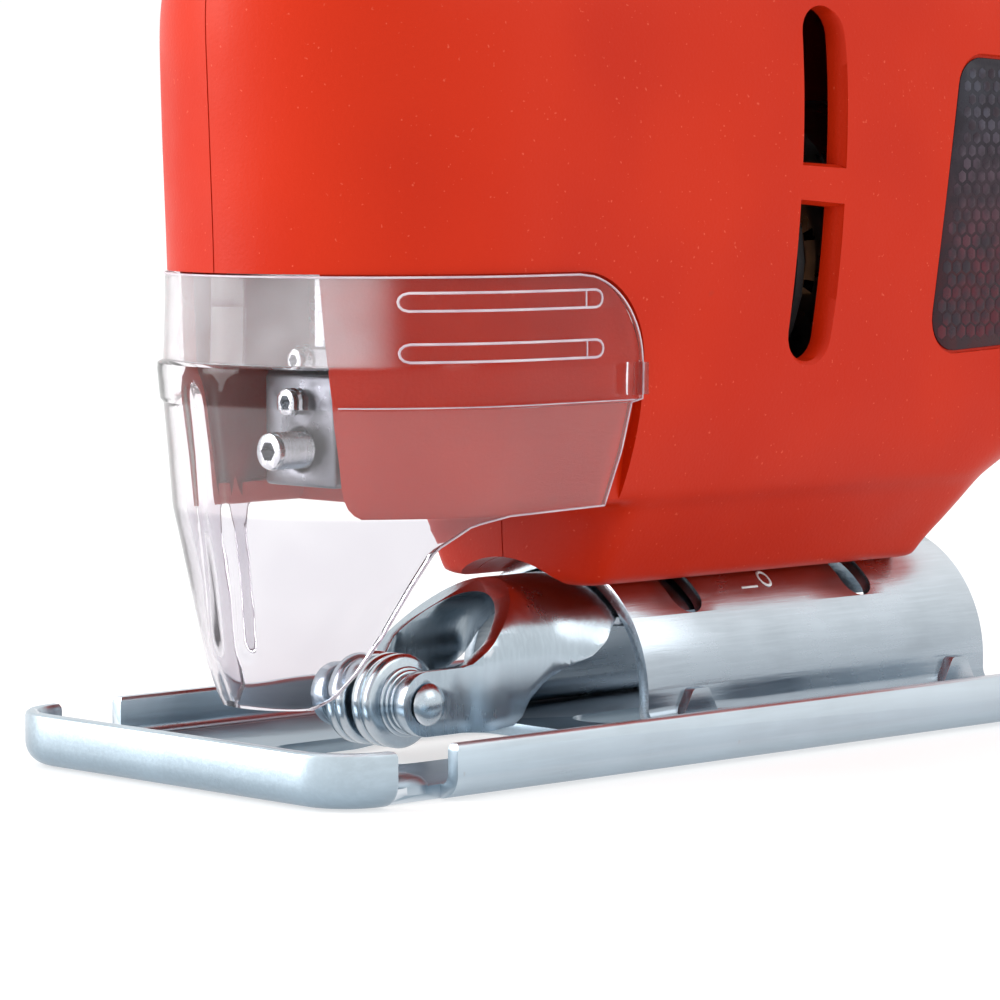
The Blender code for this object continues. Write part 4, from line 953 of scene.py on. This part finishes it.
def angle_marks():
    """The stamped tilt scale on the saddle: a nought at the middle and a tick each side."""
    top = SADDLE_Z + SADDLE_R
    bm = bmesh.new()
    for k in range(40):
        a = 2 * math.pi * k / 40
        for r, lift in ((1.0, 0.0), (1.25, 0.12), (1.5, 0.0), (1.25, -0.25)):
            bm.verts.new((109.5 + 0.8 * r * math.cos(a), 1.15 * r * math.sin(a), top + lift))
    bm.verts.ensure_lookup_table()
    for k in range(40):
        after = (k + 1) % 40
        for j in range(4):
            turn = (j + 1) % 4
            bm.faces.new([bm.verts[i] for i in (4 * k + j, 4 * k + turn, 4 * after + turn, 4 * after + j)])
    nought = moved(shape(bm), tilted(math.radians(41)))
    for degrees in (-45, -30, -15, 0, 15, 45):
        tick = block((103.5, -0.16, top - 0.3), (107.0 if degrees else 108.0, 0.16, top + 0.08))
        join(nought, moved(tick, tilted(math.radians(degrees))))
    nought.name = nought.data.name = "tilt_scale"
    nought.data.materials.append(LOOKS["bright_steel"])
    nought.data.shade_smooth()
    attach(nought, "base")


def bracket_line(x, steps=16):
    """Half of the roller bracket's mid-sheet line at one station, from the foot to the crown."""
    into = min(1.0, max(0.0, (x - 66) / 11))
    into = into * into * (3 - 2 * into)
    flare = min(1.0, max(0.0, (x - 48.5) / 5))
    flare = flare * flare * (3 - 2 * flare)
    wall = (9.0 + 2.0 * flare) * (1 - into) + STRAP_R * into
    spring = 13.8 * (1 - into) + SADDLE_Z * into
    rise = SADDLE_Z + STRAP_R - spring
    straight = [(-wall, spring - (spring - 3) * (1 - i / 3)) for i in range(3)]
    return straight + [(-wall * math.cos(a), spring + rise * math.sin(a))
                       for a in [math.pi / 2 * i / steps for i in range(steps + 1)]]


def roller_fork():
    rows = []
    stations = [35, 41, 47, 48.5] + [49.5 + 0.8 * i for i in range(6)] + [55, 60, 65]
    for x in stations + [66 + 1.1 * i for i in range(11)] + [90, 139]:
        half = bracket_line(x)
        rows.append([(x, y, z) for y, z in half] + [(x, -y, z) for y, z in reversed(half[:-1])])
    bracket = sheet(rows)
    x, z = ROLLER
    ear = arc((x, z), 4.75, 270, 90, 20)
    side = ear + [(48.6, 13.9), (50, 14.3), (51.5, 15.6), (64.2, 26.0), (66.5, 27.2), (138.5, 27.2),
                  (138.5, 19.4), (77, 19.4), (75, 18.0), (73.5, 16.3), (71, 14.2), (63, 10.6), (60.2, 8.4),
                  (58.6, 6.0), (57, 4.9), (52, z - 4.75)]
    boolean(bracket, flat(side, "Y", -30, 30), "INTERSECT")
    for sx in BASE_SCREW_X:
        cut(bracket, rod("Z", (sx, 0), 10, 40, 2.9, 24))
    cut(bracket, rod("Y", ROLLER, -20, 20, 2.35, 32))
    rounded(bracket, 0.3, 2, 40)
    piece(bracket, "roller_fork", "housing", "zinc_steel", "zinc_bracket", "roller_bracket", smooth=35)


def roller():
    half = [(2.3, -7.7), (3.4, -7.7)]
    for radius, y in ((3.9, -7.35), (4.3, -6.75), (4.75, -6.15), (5.2, -5.55)):
        half += [(radius - 0.3, y - 0.28), (radius - 0.05, y - 0.15), (radius, y), (radius - 0.05, y + 0.15),
                 (radius - 0.3, y + 0.28)]
    half += [(5.6, -5.1), (6.2, -5.0), (6.65, -4.8), (6.9, -4.45), (6.9, -3.3), (6.7, -3.05), (6.0, -2.95),
             (6.0, -2.75), (6.7, -2.65), (6.9, -2.4), (6.9, -1.2), (6.65, -0.9), (6.2, -0.8), (3.9, -0.75)]
    profile = list(half) + [(r, -y) for r, y in reversed(half)]
    wheel = turned("Y", ROLLER, profile, 72)
    piece(wheel, "grooved_roller", "roller", "zinc_steel", "zinc_turned", "guide_roller", smooth=50)
    head = ((0, 11.95), (0.8, 11.9), (1.6, 11.65), (2.3, 11.25), (2.85, 10.75), (3.1, 10.35), (3.0, 10.28),
            (2.0, 10.28))
    pin = turned("Y", ROLLER, [(r, -y) for r, y in head] + [(r, y) for r, y in reversed(head)])
    piece(pin, "riveted_pin", "housing", "zinc_steel", "zinc_turned", "roller_pin", smooth=50)


def base_fixings():
    for name, x in zip(("front", "rear"), BASE_SCREW_X):
        profile = [(0, 16.5), (3.7, 16.5), (4.1, 16.65), (4.3, 17.0), (4.3, 20.5), (2.5, 20.5)]
        for i in range(18):
            profile += [(2.5, 21.6 + i * 1.1), (2.2, 22.1 + i * 1.1)]
        profile += [(2.5, 41.2), (2.3, 41.5), (0, 41.5)]
        screw = turned("Z", (x, 0), profile, 36)
        cut(screw, rod("Z", (x, 0), 15, 19.3, 2.2, 6))
        piece(screw, f"socket_screw_{name}", "housing", "dark_steel", "bright_steel", f"base_screw_{name}",
              smooth=30)
        profile = ((2.8, 20.85), (5.8, 20.8), (6.0, 21.0), (6.0, 21.6), (5.8, 21.8), (2.8, 21.8))
        ring = turned("Z", (x, 0), profile)
        piece(ring, f"flat_washer_{name}", "housing", "zinc_steel", "bright_steel", f"base_washer_{name}")


# --- the blade clamp ---------------------------------------------------
def hex_screw(axis, centre, start, end, radius, socket, depth):
    """A set screw with a chamfered ring face and a hexagon socket at its start."""
    step = 1 if end > start else -1
    profile = [(0, start + 0.05 * step), (radius - 0.55, start), (radius - 0.15, start + 0.15 * step),
               (radius, start + 0.5 * step)]
    count = int((abs(end - start) - 1) / 0.7)
    for i in range(count):
        profile += [(radius, start + (0.9 + 0.7 * i) * step), (radius - 0.3, start + (1.25 + 0.7 * i) * step)]
    profile += [(radius, end), (0, end)]
    screw = turned(axis, centre, profile, 36)
    low, high = sorted((start - step, start + depth * step))
    return cut(screw, rod(axis, centre, low, high, socket, 6))


def clamp():
    x, (low, high) = PLUNGER_X, CLAMP_Z
    body = block((x - 7, -7.5, low), (x + 7.5, 7.5, high))
    cut(body, block((x - 3.5, -0.85, low - 1), (x + 5, 0.85, low + 11)))
    cut(body, rod("X", (0, low + 5.3), x - 9, x - 4.2, 3.0, 36), rod("Y", (x - 1, high - 5), -9, -2, 3.0, 36))
    rounded(body, 0.7, 3, 40)
    piece(body, "clamp_block", "saw_drive", "dark_steel", "steel", "blade_clamp", smooth=40)
    collar = turned("Z", (x, 0), ((4.15, high + 0.2), (5.6, high + 0.2), (6.0, high + 0.6), (6.0, high + 3.6),
                                  (5.6, high + 4.0), (4.15, high + 4.0)), 48)
    join(collar, hex_screw("X", (0, high + 2.1), x - 8.2, x - 4.6, 1.7, 0.9, 2.0))
    piece(collar, "clamp_collar", "saw_drive", "zinc_steel", "bright_steel")
    upper = hex_screw("X", (0, low + 12.2), x - 9.8, x - 6.8, 2.0, 1.1, 2.2)
    piece(upper, "set_screw_upper", "saw_drive", "zinc_steel", "bright_steel")
    front = hex_screw("X", (0, low + 5.3), x - 13, x - 4.5, 2.7, 1.5, 3.5)
    piece(front, "set_screw_front", "saw_drive", "zinc_steel", "bright_steel", "clamp_screw_front")
    side = hex_screw("Y", (x - 1, high - 5), -11.5, -2.3, 2.7, 1.5, 3.5)
    piece(side, "set_screw_side", "saw_drive", "zinc_steel", "bright_steel", "clamp_screw_side")


# --- labels, screws, grip and controls ---------------------------------
def labels():
    """Dark plates with a plain honeycomb in low relief, in the recesses on the motor housing's sides."""
    for side, name in ((-1, "left"), (1, "right")):
        surface = side * (LABEL_FLOOR + 0.38)
        plate = loft([[(u, y, v) for u, v in label_outline(grow)] for y, grow in
                      ((side * (LABEL_FLOOR + 0.1), 0), (surface - side * 0.1, 0), (surface, -0.12))])
        piece(plate, f"side_label_{name}", "housing", "label", "label", f"label_{name}", smooth=50)
        piece(honeycomb(surface, side), f"honeycomb_{name}", "housing", "label", "label_cells", smooth=20)


def inside(point, outline):
    x, y = point
    crossings = 0
    for (x0, y0), (x1, y1) in zip(outline, outline[1:] + outline[:1]):
        if (y0 > y) != (y1 > y) and x < x0 + (y - y0) / (y1 - y0) * (x1 - x0):
            crossings += 1
    return crossings % 2 == 1


def honeycomb(surface, side):
    """Shallow six-sided tiles over the label, a little smaller towards its top."""
    pitch, edge = 2.3, label_outline(-1.6)
    bm = bmesh.new()
    for row in range(24):
        for column in range(30):
            u = 127 + (column + 0.5 * (row % 2)) * pitch
            v = 57 + row * pitch * 0.866
            if not inside((u, v), edge):
                continue
            size = pitch * (0.50 - 0.12 * (v - 57) / 47)
            rows = []
            for r, lift in ((size, -0.02), (size, 0.03), (size * 0.8, 0.07)):
                y = surface + side * lift
                turns = [math.pi * k / 3 for k in range(6)]
                rows.append([bm.verts.new((u + r * math.sin(t), y, v + r * math.cos(t))) for t in turns])
            for low, high in zip(rows, rows[1:]):
                for k in range(6):
                    bm.faces.new((low[k], low[(k + 1) % 6], high[(k + 1) % 6], high[k]))
            bm.faces.new(rows[0])
            bm.faces.new(rows[-1])
    return shape(bm)


def housing_screws():
    for i, (x, z, _) in enumerate(SCREWS):
        profile = [(0, -9.2), (1.2, -9.2)]
        for k in range(20):
            profile += [(1.5, -8.8 + 0.8 * k), (1.15, -8.4 + 0.8 * k)]
        profile += [(1.5, 8.3), (2.9, 8.3), (3.0, 8.6), (2.9, 9.2), (2.4, 9.9), (1.4, 10.3), (0, 10.4)]
        screw = turned("Y", (x, z), profile, 24)
        for turn in (0, math.pi / 2):
            slot = moved(block((-1.9, 9.0, -0.35), (1.9, 12, 0.35)), Matrix.Translation((-FRONT, 0, 0)))
            place = Matrix.Translation((FRONT + x * MM, 0, z * MM)) @ Matrix.Rotation(turn + 0.4 * i, 4, "Y")
            cut(screw, moved(slot, place))
        piece(screw, f"cross_screw_{i + 1}", "housing", "dark_steel", "steel", f"housing_screw_{i + 1}")


def grip():
    """The rubber sleeve, with raised ribs across its underside and sides."""
    low, high = GRIP_SPAN
    rings = []
    for p in handle_places(low + 0.02, high - 0.02, 40):
        ring, core = handle_ring(p, 0, 64), handle_ring(p, 1.0, 64)
        wave = 0.5 + 0.5 * math.cos(2 * math.pi * p * 9)
        fade = min(1.0, (p - low) / 0.12, (high - p) / 0.12)
        made = []
        for k, (outer, inner) in enumerate(zip(ring, core)):
            side = abs(math.sin(2 * math.pi * k / 64))
            t = (1 - fade) * 0.7 + 0.4 * wave * min(1.0, max(0.0, (side - 0.75) / 0.15))
            made.append(tuple(a + (b - a) * t for a, b in zip(outer, inner)))
        rings.append(made)
    outer = loft(rings)
    inner = loft([handle_ring(p, GRIP_SKIN, 64) for p in handle_places(low - 0.1, high + 0.1)])
    cut(outer, inner, block((77.6, -8.2, 155), (108.5, 8.2, 172)), rod("Y", LOCK_PLACE, -30, -5, 6.2, 40))
    piece(outer, "rubber_grip", "housing", "black_rubber", "rubber", "handle_grip", smooth=50)


def controls():
    outline = ((82, 168.5), (82, 160), (79.5, 151), (86, 151.5), (95, 155), (106, 157.5), (106, 168.5))
    trigger = flat(rounded_outline(outline, (1.5, 3, 2.2, 5, 8, 2, 1.5)), "Y", -6.6, 6.6)
    cut(trigger, rod("Z", (94, 0), 164.5, 175, 2.6, 32))
    rounded(trigger, 1.1, 4, 50)
    piece(trigger, "finger_trigger", "trigger_body", "black_plastic", "black", "trigger", smooth=40)
    button = turned("Y", LOCK_PLACE, ((0, -19.4), (2.2, -19.25), (3.2, -19.45), (4.2, -19.3), (4.8, -18.7),
                                      (4.9, -18.0), (4.9, -10), (0, -10)))
    piece(button, "lock_on_button", "lock", "black_plastic", "black", "lock_button")
    x, z = DIAL_PLACE
    ridges = []
    for k in range(24):
        for r, part in ((9.0, 0), (9.15, 0.12), (9.55, 0.3), (9.6, 0.5), (9.55, 0.7), (9.15, 0.88)):
            a = 2 * math.pi * (k + part) / 24
            ridges.append((x + r * math.cos(a), z + r * math.sin(a)))
    dial = cut(flat(ridges, "Y", -3.6, 3.6), rod("Y", (x, z), -9, 9, 2.2, 32))
    rounded(dial, 0.35, 3, 60)
    piece(dial, "dial_wheel", "dial", "black_plastic", "black", "speed_dial")
    bush = turned("X", (0, INLET_Z), (
        (3.6, 205.5), (6.9, 205.5), (6.9, 216.2), (8.6, 216.2), (9.0, 216.5), (9.0, 218.2), (8.6, 218.6),
        (7.6, 219.0), (7.2, 219.8), (6.6, 220.0), (4.2, 220.0), (3.6, 219.4)))
    piece(bush, "inlet_bush", "housing", "black_rubber", "rubber", "cord_inlet_bush")


CAD_LOOKS = {
    "bright_steel": ("trigger_spring", "dial_pin", "base_nut_bar", "plunger", "gear_axle", "crank_pin",
                     "crank_roller", "armature_shaft", "motor_bearing_front", "motor_bearing_rear"),
    "steel": ("drive_gear", "armature_core", "field_core"),
    "cast": ("gear_case",),
    "copper": ("winding_front", "winding_rear", "commutator"),
    "bronze": ("plunger_bush_lower", "plunger_bush_upper", "brush_holder_left", "brush_holder_right"),
    "carbon": ("carbon_brush_left", "carbon_brush_right"),
    "black": ("switch_block", "cooling_fan"),
}


def dress_cad_nodes():
    for look, names in CAD_LOOKS.items():
        for name in names:
            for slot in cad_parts[name].material_slots:
                slot.material = LOOKS[look]


# --- the studio --------------------------------------------------------
def studio():
    bm = bmesh.new()
    bmesh.ops.create_grid(bm, x_segments=24, y_segments=24, size=60)
    mesh = bpy.data.meshes.new("floor")
    bm.to_mesh(mesh)
    bm.free()
    floor = bpy.data.objects.new("floor", mesh)
    SCENE.collection.objects.link(floor)
    floor.data.materials.append(floor_look())
    floor.data.shade_smooth()
    floor.location.z = CAD_BOX[0][2] - 0.0002

    world = bpy.data.worlds.new("studio")
    SCENE.world = world
    world.use_nodes = True
    world.node_tree.nodes["Background"].inputs["Color"].default_value = (1, 1, 1, 1)
    world.node_tree.nodes["Background"].inputs["Strength"].default_value = 1.02
    for name, place, size, power in LIGHTS:
        data = bpy.data.lights.new(name, "AREA")
        data.shape = "RECTANGLE"
        data.size, data.size_y = size
        data.energy = power
        light = bpy.data.objects.new(name, data)
        SCENE.collection.objects.link(light)
        light.location = place
        light.rotation_euler = (Vector((0, 0, 0.06)) - Vector(place)).to_track_quat("-Z", "Y").to_euler()


def camera():
    data = bpy.data.cameras.new("camera")
    data.lens = CAMERA_LENS
    data.sensor_width = 36
    data.clip_start = 0.01
    view = bpy.data.objects.new("camera", data)
    SCENE.collection.objects.link(view)
    view.location = CAMERA_PLACE
    view.rotation_euler = (math.pi / 2 - CAMERA_PITCH, 0, -CAMERA_AZIMUTH)
    SCENE.camera = view


shells()
chip_guard()
sole()
saddle()
roller_fork()
roller()
base_fixings()
clamp()
labels()
housing_screws()
grip()
controls()
dress_cad_nodes()
SCENE.view_settings.view_transform = "Standard"
camera()
studio()
